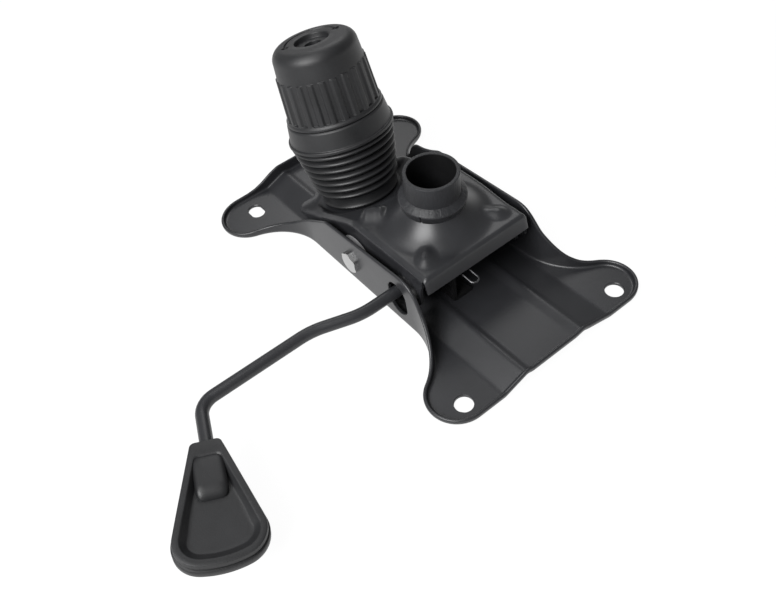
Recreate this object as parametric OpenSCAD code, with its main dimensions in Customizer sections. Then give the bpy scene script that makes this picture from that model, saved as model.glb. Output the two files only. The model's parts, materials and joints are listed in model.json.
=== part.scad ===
// Swivel-tilt mechanism of an office chair, drawn as it lies on a bench: seat face down, underside up.
// Origin: centre of the seat bolt pattern, on the seat face. +X runs from the tension knob to the plain end,
// +Y from the lever's side to the far side, +Z away from the seat.

/* [Seat plate] */
// Distance between the seat holes along the plate
bolt_span_x = 228; // [215:1:240]
// Distance between the seat holes across the plate
bolt_span_y = 119; // [112:1:126]
// Thickness of the pressed sheet
plate_t = 2.2; // [1.6:0.1:2.6]
// Diameter of the round holes at the plain end
rear_hole_d = 11; // [7:0.5:14]
// Width of the slots at the knob end
front_slot_w = 10; // [7:0.5:12]
// Length of the slots at the knob end, end to end
front_slot_l = 18; // [14:0.5:24]
// Width over the two upright cheeks
waist_w = 93.6; // [92:0.2:98]
// Corner radius of the ears at the knob end
front_ear_r = 22; // [18:0.5:25]
// Corner radius of the ears at the plain end
rear_ear_r = 19; // [16:0.5:21]
// Radius of the necks between cheeks and front ears
front_neck_r = 40; // [30:1:45]
// Radius of the necks between cheeks and rear ears
rear_neck_r = 30; // [22:1:36]
// Height of the turned-up rim
rim_h = 6.5; // [4:0.5:9]
// Height of the cheeks
cheek_h = 41; // [39:0.5:42]
// Rise of the middle strip above the ears
strip_rise = 5; // [4.4:0.1:5.2]
// Rise of the two stiffening ridges above the ears
ridge_rise = 5.8; // [5.4:0.1:6]

/* [Housing] */
// Thickness of the cover's sheet
cover_t = 2; // [1.5:0.1:2.5]
// Height of the cover's flat top
cover_top = 44; // [43:0.5:46]
// Plain end of the cover's top
cover_rear_x = 62; // [58:1:66]
// Place where the flat top turns into the slope
cover_break_x = -8; // [-10:0.5:-6]
// Angle of the slope down to the knob end
slope_deg = 24.6; // [24:0.1:25.4]
// Depth of the cover's turned-down skirt and lip
skirt_h = 13; // [10:0.5:15]
// Gap between a cheek and the cover
side_gap = 3.6; // [2.5:0.1:5]
// Thickness of the inner bracket's sheet
bracket_t = 2.5; // [2:0.1:3]

/* [Pivot] */
// Pivot's place along the plate
pivot_x = -5; // [-7:0.5:-3]
// Pivot's height above the seat face
pivot_z = 19; // [18:0.5:20]
// Diameter of the pivot bolt
pivot_d = 8; // [6:0.5:9]
// Outside diameter of the pivot sleeve
sleeve_d = 14; // [12:0.5:18]
// Outside diameter of the pivot spacers
spacer_d = 31; // [22:1:32]

/* [Gas lift socket] */
// Bore at the socket's mouth
socket_bore_d = 28.4; // [27:0.1:30]
// Wall of the socket tube
socket_wall = 2.4; // [1.8:0.1:3]
// Length of the socket tube
socket_len = 44; // [41:0.5:46]
// Place of the socket's mouth along the plate
socket_x = 26; // [24:0.5:28]
// Height of the socket's mouth
socket_z = 79.4; // [78:0.2:81]
// Lean of the socket towards the plain end
socket_lean = 4.5; // [3:0.25:6]
// Outside diameter of the welded ring
weld_ring_d = 41.2; // [39:0.2:44]

/* [Tension knob] */
// Place of the knob's seat along the plate
knob_x = -61; // [-62:0.5:-60]
// Height of the knob's seat
knob_z = 17.7; // [17.5:0.1:18.5]
// Lean of the knob away from the socket
knob_lean = 11.4; // [10.5:0.1:12]
// Diameter of the knob's lip
knob_d = 64; // [60:1:66]
// Height of the knob
knob_h = 46.5; // [43:0.5:50]
// Number of grip flutes
flute_count = 24; // [16:1:30]
// Diameter of the tension bolt
bolt_d = 10; // [8:0.5:11]
// Number of bellows ribs
rib_count = 7; // [5:1:8]
// Wire diameter of the tension spring
spring_wire_d = 5; // [4:0.25:5.5]
// Turns of the tension spring
spring_turns = 6; // [5:0.5:7]

/* [Lever] */
// Diameter of the lever rod
rod_d = 7.5; // [6.5:0.1:8.2]
// Place where the lever passes through the cheek
lever_x = 40.5; // [40:0.25:41.5]
// Height of the lever
lever_z = 25; // [24.5:0.25:26]
// Distance from the plate's middle to the lever's outer bend
lever_reach = 173; // [150:1:200]
// Sideways jog of the lever rod
lever_jog = 10.5; // [4:0.5:14]
// Angle between the handle and the plate's long axis
handle_deg = 20; // [10:1:30]
// Length of the paddle
paddle_len = 73.5; // [62:0.5:85]
// Width of the paddle
paddle_w = 44.5; // [38:0.5:52]
// Thickness of the paddle
paddle_t = 10; // [9:0.5:12]

/* [Hidden] */
$fn = 96;
run_gap = 0.3;
slip = 0.06;
big = 400;
tilt_max = 12;

// Seat plate places
bolt_x = bolt_span_x / 2;
bolt_y = bolt_span_y / 2;
waist_y = waist_w / 2;
cheek_in_y = waist_y - plate_t;
front_ear_c = [-bolt_x + 3, -bolt_y - 5.5];
rear_ear_c = [bolt_x - 6.3, -bolt_y + 1];
strip_y = 15;
ridge_in_y = 19;
ridge_out_y = 24;
ridge_foot_y = 40;
floor_top = strip_rise + plate_t;
slot_r = 8.25;
slot_x = lever_x + 1.75;
slot_low_z = 16.85;
slot_high_z = 24.75;

// Cheek outline from the plain end to the knob end: places along X, and shares of the rise above the rim
cheek_steps = [
    [92, 0], [86, 0.045], [80, 0.16], [75, 0.30], [70, 0.455], [65, 0.60], [61, 0.78], [57, 0.91], [53, 0.975],
    [48, 1], [-31, 0.84], [-54, 0.465], [-71, 0.16], [-85, 0.045], [-94, 0]
];
cheek_profile = concat(
    [[big, -1], [big, rim_h]],
    [for (step = cheek_steps) [step[0], rim_h + step[1] * (cheek_h - rim_h)]],
    [[-big, rim_h], [-big, -1]]
);

// Hump of the rim at the middle of the knob end
hump_line = [[-34, -1], [-34, rim_h], [-20, 2.5 * rim_h], [20, 2.5 * rim_h], [34, rim_h], [34, -1]];
hump_back_x = -100;

// Pocket that holds the tension bolt's head
pocket_x = knob_x + 2.5;
pocket_r = 12.8;
pocket_top = 8.3;
pocket_hole_r = bolt_d / 2 + 2.5;

// Housing places
cover_y = cheek_in_y - side_gap;
bracket_y = cover_y - cover_t;
slope = tan(slope_deg);
skirt_low_z = ridge_rise + plate_t + run_gap + 0.1;
cover_low_z = skirt_low_z + 1.8;
cover_foot_x = cover_break_x - (cover_top - cover_low_z) / slope;
cover_front_x = -98;
cover_corner_r = 28;
lip_flare = 3;
web_t = 2.4;
dome_base_r = 31;
dome_rise = 15;
dome_wall = 2.6;
ring_low = 22;
ring_h = 6;

// Socket sizes
tube_r = socket_bore_d / 2 + socket_wall;
land_len = 14;
taper_r = socket_bore_d / 2 - 0.7;

// Knob stack, measured up the knob's axis from its seat
seat_r = 31;
seat_t = 2.2;
seat_wall = 2;
neck_r = 26;
neck_h = 6;
collar_low = 45.4;
collar_top = 59.9;
collar_r = 35.8;
flange_t = 2.7;
washer_t = 1.5;
washer_r = 1.4 * bolt_d;
bolt_play = 0.6;
knob_low = collar_top + run_gap;
nut_low = collar_top + washer_t + run_gap;
nut_h = 8;
nut_af = 1.7 * bolt_d;
knob_top = knob_low + knob_h;
knob_r = knob_d / 2;
bolt_top = knob_top - 20.5;
head_low = -15.5;
head_high = -11.5;
head_r = 8.5;

// Lever route, seen from above, with a bend radius at each inner corner
rod_r = rod_d / 2;
handle_dir = [cos(handle_deg), -sin(handle_deg)];
lever_corner = [lever_x - lever_jog, -lever_reach];
jog_near_y = -71;
jog_far_y = -100;
handle_run = 46;
lever_route = [
    [socket_x, 2], [lever_x, -18], [lever_x, jog_near_y], [lever_x - lever_jog, jog_far_y], lever_corner,
    lever_corner + handle_run * handle_dir
];
lever_bends = [0, 9, 45, 45, 12, 0];
bush_r = 5.8;
bush_flange_r = 8;
bush_flange_t = 2;
bush_play = 0.7;
bush_drop = 0.7;
pad_r = 0.87 * rod_d;
pad_t = 4;
paddle_gap = 22;
paddle_start = lever_corner + paddle_gap * handle_dir;
paddle_wall = 4;
boss_r = 6.2;

// Tilt lock places
lock_room = 6;
lock_y = lock_room - (bracket_y - bracket_t - bush_flange_t);
lock_t = 2.5;
lock_travel = 8;
tongue_x = 52;
tongue_z = 23;
tongue_w = 4;
tongue_h = 3;
tongue_tip_y = lock_y + 10;
catch_t = 2.5;
catch_gap = 1.2;
catch_y = tongue_tip_y + catch_gap;
catch_foot_y = -3.5;
catch_x = tongue_x - 6;
catch_top = 27;
catch_len = 12;
catch_low = ridge_rise + plate_t + 0.1;

// Points along an arc
function arc(c, r, a0, a1, n = 24) =
    [for (i = [0 : n]) let (a = a0 + (a1 - a0) * i / n) c + r * [cos(a), sin(a)]];

// Centre of a neck's arc, which touches the cheek's line and an ear's corner circle
function neck_c(ear_c, ear_r, neck_r, way) =
    let (y = -waist_y - neck_r)
    let (dy = y - ear_c[1])
    [ear_c[0] + way * sqrt((ear_r + neck_r) ^ 2 - dy ^ 2), y];
front_neck_c = neck_c(front_ear_c, front_ear_r, front_neck_r, 1);
rear_neck_c = neck_c(rear_ear_c, rear_ear_r, rear_neck_r, -1);

// Bearing of one point from another
function bearing(from, to) = atan2(to[1] - from[1], to[0] - from[0]);

// Outline of the plate, drawn in by an inset
function side_outline(inset) =
    let (fa = bearing(front_ear_c, front_neck_c) + 360)
    let (ra = bearing(rear_ear_c, rear_neck_c) + 360)
    concat(
        arc(front_ear_c, front_ear_r - inset, 180, fa),
        arc(front_neck_c, front_neck_r + inset, fa - 180, 90),
        arc(rear_neck_c, rear_neck_r + inset, 90, ra - 180),
        arc(rear_ear_c, rear_ear_r - inset, ra, 360)
    );
function plate_outline(inset) =
    let (side = side_outline(inset))
    concat(side, [for (k = [len(side) - 1 : -1 : 0]) [side[k][0], -side[k][1]]]);

// Height of the floor's underside across the plate, and the same line raised
floor_line = [
    [-big, 0], [-ridge_foot_y, 0], [-ridge_out_y, ridge_rise], [-ridge_in_y, ridge_rise],
    [-strip_y, strip_rise], [strip_y, strip_rise],
    [ridge_in_y, ridge_rise], [ridge_out_y, ridge_rise], [ridge_foot_y, 0], [big, 0]
];
function floor_raised(h) = [for (p = floor_line) p + [0, h]];
function back_to_front(list) = [for (k = [len(list) - 1 : -1 : 0]) list[k]];

// A profile in Y and Z, carried along X
module along_x(points) {
    rotate([90, 0, 90]) linear_extrude(2 * big, center = true) polygon(points);
}

// A profile in X and Z, carried along Y between two places
module along_y(points, y0, y1) {
    translate([0, y1, 0]) rotate([90, 0, 0]) linear_extrude(y1 - y0) polygon(points);
}

// A rod along Y
module cross_rod(r, x, z, y0, y1) {
    translate([x, y1, z]) rotate([90, 0, 0]) cylinder(r = r, h = y1 - y0);
}

// A hexagonal rod along Y, measured across its flats
module cross_hex(af, x, z, y0, y1) {
    translate([x, y1, z]) rotate([90, 0, 0]) cylinder(r = af / sqrt(3), h = y1 - y0, $fn = 6);
}

module on_knob_axis() {
    translate([knob_x, 0, knob_z]) rotate([0, -knob_lean, 0]) children();
}

module on_socket_axis() {
    translate([socket_x, 0, socket_z]) rotate([0, socket_lean, 0]) children();
}

// A ring about Z
module ring(r_in, r_out, z0, z1) {
    translate([0, 0, z0]) difference() {
        cylinder(r = r_out, h = z1 - z0);
        translate([0, 0, -1]) cylinder(r = r_in, h = z1 - z0 + 2);
    }
}

// Pressed pan: floor with two ridges, turned-up rim, two cheeks and the pocket for the tension bolt's head
module seat_plate() {
    color([0.10, 0.10, 0.11]) difference() {
        union() {
            intersection() {
                linear_extrude(big) polygon(plate_outline(0));
                along_x(concat(floor_line, back_to_front(floor_raised(plate_t))));
            }
            intersection() {
                difference() {
                    linear_extrude(big) polygon(plate_outline(0));
                    translate([0, 0, -1]) linear_extrude(big) polygon(plate_outline(plate_t));
                }
                union() {
                    along_y(cheek_profile, -big, big);
                    along_x(concat([[-big, -1]], floor_raised(rim_h), [[big, -1]]));
                    intersection() {
                        along_x(hump_line);
                        translate([-big, -big, -1]) cube([big + hump_back_x, 2 * big, big]);
                    }
                }
            }
            translate([pocket_x, 0, strip_rise])
                cylinder(r = pocket_r + plate_t, h = pocket_top + plate_t - strip_rise);
        }
        along_x(concat([[-big, -big], [big, -big]], back_to_front(floor_line)));
        translate([pocket_x, 0, -1]) cylinder(r = pocket_r, h = pocket_top + 1);
        translate([pocket_x, 0, 0]) cylinder(r = pocket_hole_r, h = big);
        for (y = [-bolt_y, bolt_y]) {
            translate([bolt_x, y, -1]) cylinder(d = rear_hole_d, h = rim_h + 2);
            for (end = [-1, 1]) translate([-bolt_x + end * (front_slot_l - front_slot_w) / 2, y, -1])
                cylinder(d = front_slot_w, h = rim_h + 2);
            translate([-bolt_x - (front_slot_l - front_slot_w) / 2, y - front_slot_w / 2, -1])
                cube([front_slot_l - front_slot_w, front_slot_w, rim_h + 2]);
        }
        cross_rod(pivot_d / 2 + 2 * slip, pivot_x, pivot_z, -big, big);
        for (z = [slot_low_z, slot_high_z]) cross_rod(slot_r, slot_x, z, -big, 0);
        translate([slot_x - slot_r, -big, slot_low_z]) cube([2 * slot_r, big, slot_high_z - slot_low_z]);
    }
}

// Hexagon bolt through both cheeks
module pivot_bolt() {
    head_h = 0.65 * pivot_d;
    color([0.75, 0.75, 0.74]) union() {
        cross_rod(pivot_d / 2, pivot_x, pivot_z, -waist_y - 1, waist_y + 10);
        cross_hex(1.625 * pivot_d, pivot_x, pivot_z, -waist_y - head_h, -waist_y);
    }
}

// Hexagon nut against the far cheek
module pivot_nut() {
    color([0.75, 0.75, 0.74]) difference() {
        cross_hex(1.625 * pivot_d, pivot_x, pivot_z, waist_y, waist_y + 0.8 * pivot_d);
        cross_rod(pivot_d / 2 + slip / 2, pivot_x, pivot_z, 0, big);
    }
}

// Tongue of the tilt lock, grown by a gap all round
module tongue(gap) {
    translate([tongue_x - tongue_w / 2 - gap, lock_y, tongue_z - tongue_h / 2 - gap])
        cube([tongue_w + 2 * gap, tongue_tip_y - lock_y + gap, tongue_h + 2 * gap]);
}

// Upright catch on the plate's floor, with one window for each position of the lock
module lock_catch() {
    color([0.35, 0.36, 0.38]) difference() {
        union() {
            translate([catch_x, catch_y, catch_low]) cube([catch_len, catch_t, catch_top - catch_low]);
            translate([catch_x, catch_y, catch_low])
                cube([catch_len, catch_foot_y - catch_y, floor_top + catch_t - catch_low]);
            translate([catch_x, -strip_y, floor_top]) cube([catch_len, catch_foot_y + strip_y, catch_t]);
        }
        for (turn = [0, tilt_max / 2, tilt_max])
            translate([pivot_x, 0, pivot_z]) rotate([0, turn, 0])
                translate([-pivot_x, lock_travel, -pivot_z]) tongue(1);
    }
}

// Outline of the cover seen from the side, drawn in by an inset and open below
function cover_profile(inset) = [
    [cover_rear_x + lip_flare - inset, cover_top - skirt_h],
    [cover_rear_x - inset, cover_top - inset],
    [cover_break_x + inset * tan(slope_deg / 2), cover_top - inset],
    [cover_foot_x + inset * tan(slope_deg / 2), cover_low_z - inset],
    [-big, cover_low_z - inset],
    [-big, skirt_low_z - inset],
    [cover_break_x - (cover_top - skirt_h - skirt_low_z) / slope, skirt_low_z - inset],
    [cover_break_x, cover_top - skirt_h - 4 * inset],
    [cover_rear_x + lip_flare - inset, cover_top - skirt_h - 4 * inset]
];

// Outline of the cover seen from above, drawn in by an inset
function cover_plan(inset) =
    let (r = cover_corner_r - inset)
    let (x = cover_front_x + cover_corner_r)
    let (y = cover_y - cover_corner_r)
    let (corners = concat(arc([x, y], r, 90, 180), arc([x, -y], r, 180, 270)))
    concat([[big, cover_y - inset]], corners, [[big, -cover_y + inset]]);

// Solid under the cover's skin
module cover_block(inset) {
    intersection() {
        along_y(cover_profile(inset), -cover_y - 1, cover_y + 1);
        translate([0, 0, -big]) linear_extrude(2 * big) polygon(cover_plan(inset));
    }
}

// Drawn dome that carries the socket
module dome(drop) {
    on_socket_axis() translate([0, 0, -ring_low - dome_rise - drop])
        cylinder(r1 = dome_base_r, r2 = weld_ring_d / 2, h = dome_rise);
}

// Pressed cap of the housing, with its dome, slope, skirts and plain-end lip
module housing_cover() {
    notch = 4.5;
    lobe_r = 9;
    lobe_z = cover_top - 12;
    color([0.11, 0.11, 0.12]) difference() {
        union() {
            cover_block(0);
            dome(0);
            for (y = [-cover_y, cover_y - cover_t])
                cross_rod(lobe_r, cover_rear_x - lobe_r + 0.5, lobe_z, y, y + cover_t);
        }
        cover_block(cover_t);
        translate([0, 0, -3 * cover_t]) cover_block(cover_t);
        dome(dome_wall);
        on_socket_axis() translate([0, 0, -big / 2]) cylinder(r = tube_r + slip, h = big);
        on_knob_axis() translate([0, 0, -30]) cylinder(r = seat_r + seat_wall + slip, h = 80);
        for (y = [-1, 1] * (cover_y - cover_t - notch / 2))
            translate([cover_rear_x + 2, y, cover_top - skirt_h])
                cube([8, notch, 2 * (skirt_h - cover_t - 1)], center = true);
    }
}

// Outline of the bracket's side walls
bracket_rear_x = cover_rear_x - 8;
web_rear_x = cover_rear_x - 16;
bracket_top = cover_top - cover_t;
bracket_front_x = -50;
bracket_wall = [
    [bracket_rear_x, bracket_top], [cover_break_x + cover_t * tan(slope_deg / 2), bracket_top],
    [bracket_front_x, bracket_top - slope * (cover_break_x + cover_t * tan(slope_deg / 2) - bracket_front_x)],
    [bracket_front_x, 9.5], [pivot_x + 17, 9.5], [bracket_rear_x, lever_z - 6]
];

// Channel inside the cover that carries the pivot, the lever and the socket
module inner_bracket() {
    color([0.16, 0.16, 0.17]) difference() {
        union() {
            for (y = [-bracket_y, bracket_y - bracket_t]) along_y(bracket_wall, y, y + bracket_t);
            translate([-4, -bracket_y, bracket_top - web_t]) cube([web_rear_x + 4, 2 * bracket_y, web_t]);
        }
        on_socket_axis() translate([0, 0, -big / 2]) cylinder(r = tube_r + slip, h = big);
        cross_rod(sleeve_d / 2 + slip, pivot_x, pivot_z, -big, big);
        cross_rod(bush_r + slip, lever_x, lever_z, -big, 0);
    }
}

// Socket tube: parallel land at the mouth, then a slow self-locking taper
module gas_lift_socket() {
    r = socket_bore_d / 2;
    edge = 0.8;
    color([0.14, 0.14, 0.15]) on_socket_axis() rotate_extrude() polygon([
        [taper_r, -socket_len], [tube_r, -socket_len], [tube_r, -edge], [tube_r - edge, 0],
        [r + edge, 0], [r, -edge], [r, -land_len]
    ]);
}

// Ring welded round the socket on top of the dome
module weld_ring() {
    r = weld_ring_d / 2;
    color([0.12, 0.12, 0.13]) on_socket_axis() rotate_extrude() polygon([
        [tube_r + slip, -ring_low], [r, -ring_low], [r, -ring_low + 0.65 * ring_h],
        [r - 1.2, -ring_low + ring_h], [tube_r + slip, -ring_low + ring_h + 1]
    ]);
}

// Tube that turns on the pivot bolt
module pivot_sleeve() {
    end = cheek_in_y - run_gap;
    color([0.55, 0.55, 0.56]) difference() {
        cross_rod(sleeve_d / 2, pivot_x, pivot_z, -end, end);
        cross_rod(pivot_d / 2 + slip, pivot_x, pivot_z, -big, big);
    }
}

// Pair of plastic spacers between the cheeks and the bracket
module pivot_spacers() {
    color([0.30, 0.30, 0.31]) for (side = [0, 1]) mirror([0, side, 0]) difference() {
        cross_rod(spacer_d / 2, pivot_x, pivot_z, cover_y + 0.1, cheek_in_y - run_gap);
        cross_rod(sleeve_d / 2 + slip, pivot_x, pivot_z, 0, big);
    }
}

// Plastic bush with an upright bore that the lever rocks and slides in
module lever_bush() {
    bore_r = rod_r + bush_play;
    flange_y = bracket_t - bracket_y;
    color([0.08, 0.08, 0.085]) difference() {
        union() {
            cross_rod(bush_r, lever_x, lever_z, slip - bracket_y, flange_y + bush_flange_t);
            cross_rod(bush_flange_r, lever_x, lever_z, flange_y, flange_y + bush_flange_t);
        }
        for (z = [lever_z, lever_z - bush_drop]) cross_rod(bore_r, lever_x, z, -big, 0);
        translate([lever_x - bore_r, -big, lever_z - bush_drop]) cube([2 * bore_r, big, bush_drop]);
    }
}

// Wire hairpin hung under the cover, whose loop shows below the plain-end lip
module lever_spring() {
    wire_r = 0.65;
    leg_y = [-13.2, -7.6];
    loop_r = (leg_y[1] - leg_y[0]) / 2;
    leg_len = 24;
    leg_lean = 40;
    top = [cover_rear_x - 13.6, 0, bracket_top - run_gap - wire_r * cos(leg_lean)];
    color([0.80, 0.80, 0.80]) translate(top) rotate([0, leg_lean, 0]) union() {
        for (y = leg_y) translate([0, y, 0]) rotate([0, 90, 0]) cylinder(r = wire_r, h = leg_len, $fn = 24);
        translate([leg_len, (leg_y[0] + leg_y[1]) / 2, 0]) rotate([0, 0, -90])
            rotate_extrude(angle = 180) translate([loop_r, 0]) circle(r = wire_r, $fn = 24);
    }
}

// Dished seat of the tension spring, set square to the knob's axis in the slope
module spring_seat() {
    r = seat_r + seat_wall;
    color([0.07, 0.07, 0.075]) difference() {
        union() {
            on_knob_axis() translate([0, 0, -seat_t]) cylinder(r = r, h = seat_t);
            intersection() {
                on_knob_axis() ring(seat_r, r, -12, 0);
                translate([-big / 2, -big / 2, skirt_low_z]) cube(big);
            }
            intersection() {
                on_knob_axis() ring(seat_r, r, -1, 30);
                cover_block(0);
            }
        }
        on_knob_axis() translate([0, 0, -20]) cylinder(r = bolt_d / 2 + 1.5, h = 40);
    }
}

// Rubber boot: plain neck, then ribs that widen up to the collar
rib_pitch = (collar_low - neck_h - 2.4) / rib_count;
boot_wall = 1.8;
first_rib_r = 29.1;
last_rib_r = collar_r - 0.5;
function rib_r(i) = first_rib_r + (last_rib_r - first_rib_r) * i / (rib_count - 1);
function boot_side(inset) = concat(
    [[neck_r - inset, 0], [neck_r - inset, neck_h]],
    [for (i = [0 : rib_count - 1]) let (z = neck_h + 1 + rib_pitch * i) each [
        [rib_r(i) - 4 - inset, z], [rib_r(i) - 0.8 - inset, z + 0.32 * rib_pitch],
        [rib_r(i) - inset, z + 0.5 * rib_pitch], [rib_r(i) - 0.8 - inset, z + 0.68 * rib_pitch]
    ]],
    [[collar_r - 4.5 - inset, collar_low - 1.4], [collar_r - 4.5 - inset, collar_low - run_gap]]
);
module bellows() {
    color([0.08, 0.08, 0.085]) on_knob_axis() rotate_extrude()
        polygon(concat(boot_side(0), back_to_front(boot_side(boot_wall))));
}

// Coil spring round the tension bolt, swept along a helix
spring_r = 17;
spring_low = run_gap + spring_wire_d / 2;
spring_high = collar_top - flange_t - run_gap - spring_wire_d / 2;
coil_steps = 8;
coil_sides = 6;
coil_rings = round(spring_turns * coil_steps);
function coil_centre(i) =
    let (a = 360 * i / coil_steps)
    [spring_r * cos(a), spring_r * sin(a), spring_low + (spring_high - spring_low) * i / coil_rings];
coil_points = [for (i = [0 : coil_rings]) let (a = 360 * i / coil_steps) for (k = [0 : coil_sides - 1])
    let (b = 360 * k / coil_sides)
    coil_centre(i) + spring_wire_d / 2 * [cos(b) * cos(a), cos(b) * sin(a), sin(b)]];
coil_faces = concat(
    [for (i = [0 : coil_rings - 1]) for (k = [0 : coil_sides - 1])
        let (p = i * coil_sides + k)
        let (q = i * coil_sides + (k + 1) % coil_sides)
        each [[p, q, q + coil_sides], [p, q + coil_sides, p + coil_sides]]],
    [for (k = [1 : coil_sides - 2]) [0, k + 1, k]],
    [for (k = [1 : coil_sides - 2]) let (e = coil_rings * coil_sides) [e, e + k, e + k + 1]]
);
coil_gap = min([for (i = [0 : coil_rings - coil_steps])
    norm(coil_centre(i + coil_steps) - coil_centre(i))]) - spring_wire_d;
echo(least_gap_between_coils = coil_gap);
module tension_spring() {
    color([0.55, 0.55, 0.57]) on_knob_axis() polyhedron(coil_points, coil_faces);
}

// Tension bolt: shank up through the knob, round head in the plate's pocket
module tension_bolt() {
    color([0.60, 0.60, 0.61]) on_knob_axis() union() {
        translate([0, 0, head_low]) cylinder(r = head_r, h = head_high - head_low);
        translate([0, 0, head_low]) cylinder(d = bolt_d, h = bolt_top - head_low);
    }
}

// Cap over the spring, whose outer skirt is the smooth collar under the knob
module spring_cap() {
    r_top = knob_r + 0.6;
    r_low = collar_r - 2.2;
    color([0.10, 0.10, 0.105]) on_knob_axis() rotate_extrude() polygon([
        [bolt_d / 2 + bolt_play, collar_top - flange_t], [r_top - 2.7, collar_top - flange_t],
        [collar_r - 3.4, collar_low + 1], [collar_r - 3.4, collar_low],
        [collar_r - 0.6, collar_low], [collar_r, collar_low + 0.8], [collar_r - 0.3, collar_low + 2.4],
        [r_low, collar_low + 3.6], [r_top, collar_top - 1.2], [r_top - 1, collar_top],
        [bolt_d / 2 + bolt_play, collar_top]
    ]);
}

// Steel washer between the cap and the knob's nut
module thrust_washer() {
    color([0.62, 0.62, 0.63]) on_knob_axis()
        ring(bolt_d / 2 + bolt_play, washer_r, collar_top, collar_top + washer_t);
}

// Moulded knob: fluted shell, hub for the nut, stepped recess in the top
module knob() {
    shell = 3;
    flute_low = knob_low + 2.6;
    flute_high = knob_low + 0.634 * knob_h;
    r_low = knob_r - 1;
    r_high = knob_r - 2.7;
    r_band = knob_r - 3.7;
    r_top = knob_r - 4.6;
    round_r = 7.5;
    hub_r = nut_af / 2 + 4.5;
    bore_r = bolt_d / 2 + 0.3;
    hole_r = 5;
    recess_r = 10;
    recess_h = 5;
    flute_r = 2.4;
    flute_depth = 1.3;
    flute_lean = atan((r_low - flute_depth - r_band) / (flute_high - flute_low));
    outer = concat(
        [[r_low - shell, knob_low], [knob_r, knob_low], [knob_r, knob_low + 1.6], [r_low, flute_low]],
        [[r_high, flute_high], [r_band, flute_high + 0.8]],
        arc([r_top - round_r, knob_top - round_r], round_r, 0, 90, 12)
    );
    color([0.09, 0.09, 0.095]) on_knob_axis() difference() {
        rotate_extrude() polygon(concat(outer, [
            [recess_r, knob_top], [recess_r, knob_top - recess_h], [hole_r, knob_top - recess_h],
            [hole_r, bolt_top + 10], [bore_r, bolt_top + 10], [bore_r, nut_low], [hub_r, nut_low],
            [hub_r, knob_top - 2 * shell - recess_h], [r_top - round_r, knob_top - 2 * shell - recess_h],
            [r_band - shell, flute_high]
        ]));
        for (k = [0 : flute_count - 1]) rotate(360 * k / flute_count)
            translate([r_low - flute_depth + flute_r, 0, flute_low]) rotate([0, -flute_lean, 0])
                cylinder(r = flute_r, h = flute_high + 0.8 - flute_low, $fn = 24);
        translate([0, 0, nut_low - 1]) cylinder(r = nut_af / sqrt(3) + slip, h = nut_h + 1, $fn = 6);
    }
}

// Nut set in the knob's hub, running on the tension bolt
module knob_nut() {
    color([0.62, 0.62, 0.63]) on_knob_axis() translate([0, 0, nut_low]) difference() {
        cylinder(r = nut_af / sqrt(3), h = nut_h, $fn = 6);
        translate([0, 0, -1]) cylinder(r = bolt_d / 2 + slip, h = nut_h + 2);
    }
}

// Sliding plate that the lever pushes into the catch
module lock_plate() {
    low = [lever_x - 8, lock_y - lock_t, tongue_z - tongue_h / 2];
    color([0.40, 0.41, 0.43]) difference() {
        union() {
            translate(low) cube([tongue_x + tongue_w / 2 - low[0], lock_t, lever_z + 8 - low[2]]);
            tongue(0);
        }
        cross_rod(rod_r + 1.6, lever_x, lever_z, -big, 0);
    }
}

// Corner data of the lever's route: bearing of each run, turn at each corner, trim of each run
function run_bearing(i) = bearing(lever_route[i], lever_route[i + 1]);
function corner_turn(i) = run_bearing(i) - run_bearing(i - 1);
function corner_trim(i) = lever_bends[i] == 0 ? 0 : lever_bends[i] * tan(abs(corner_turn(i)) / 2);

// Straight run of the lever rod, a hair thinner than its bends and let into them
run_lap = 0.5;
run_step = 0.04;
module rod_run(i) {
    run = norm(lever_route[i + 1] - lever_route[i]);
    from = max(corner_trim(i) - run_lap, 0);
    to = run - max(corner_trim(i + 1) - run_lap, 0);
    translate([lever_route[i][0], lever_route[i][1], lever_z]) rotate([0, 90, run_bearing(i)])
        translate([0, 0, from]) cylinder(r = rod_r - run_step, h = to - from, $fn = 48);
}

// Bend of the lever rod at a corner of its route
module rod_bend(i) {
    turn = corner_turn(i);
    way = sign(turn);
    start = run_bearing(i - 1);
    from = lever_route[i] - corner_trim(i) * [cos(start), sin(start)];
    centre = from + way * lever_bends[i] * [-sin(start), cos(start)];
    translate([centre[0], centre[1], lever_z]) rotate([0, 0, way > 0 ? start - 90 : start + 90 + turn])
        rotate_extrude(angle = abs(turn)) translate([lever_bends[i], 0]) circle(r = rod_r, $fn = 48);
}

// Bent steel rod, with a flattened pad under the gas lift's valve
module lever_rod() {
    last = len(lever_route) - 1;
    color([0.11, 0.11, 0.12]) union() {
        for (i = [0 : last - 1]) rod_run(i);
        for (i = [1 : last - 1]) rod_bend(i);
        translate([lever_route[0][0], lever_route[0][1] - 1, lever_z - pad_t / 2])
            cylinder(r = pad_r, h = pad_t);
    }
}

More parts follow.
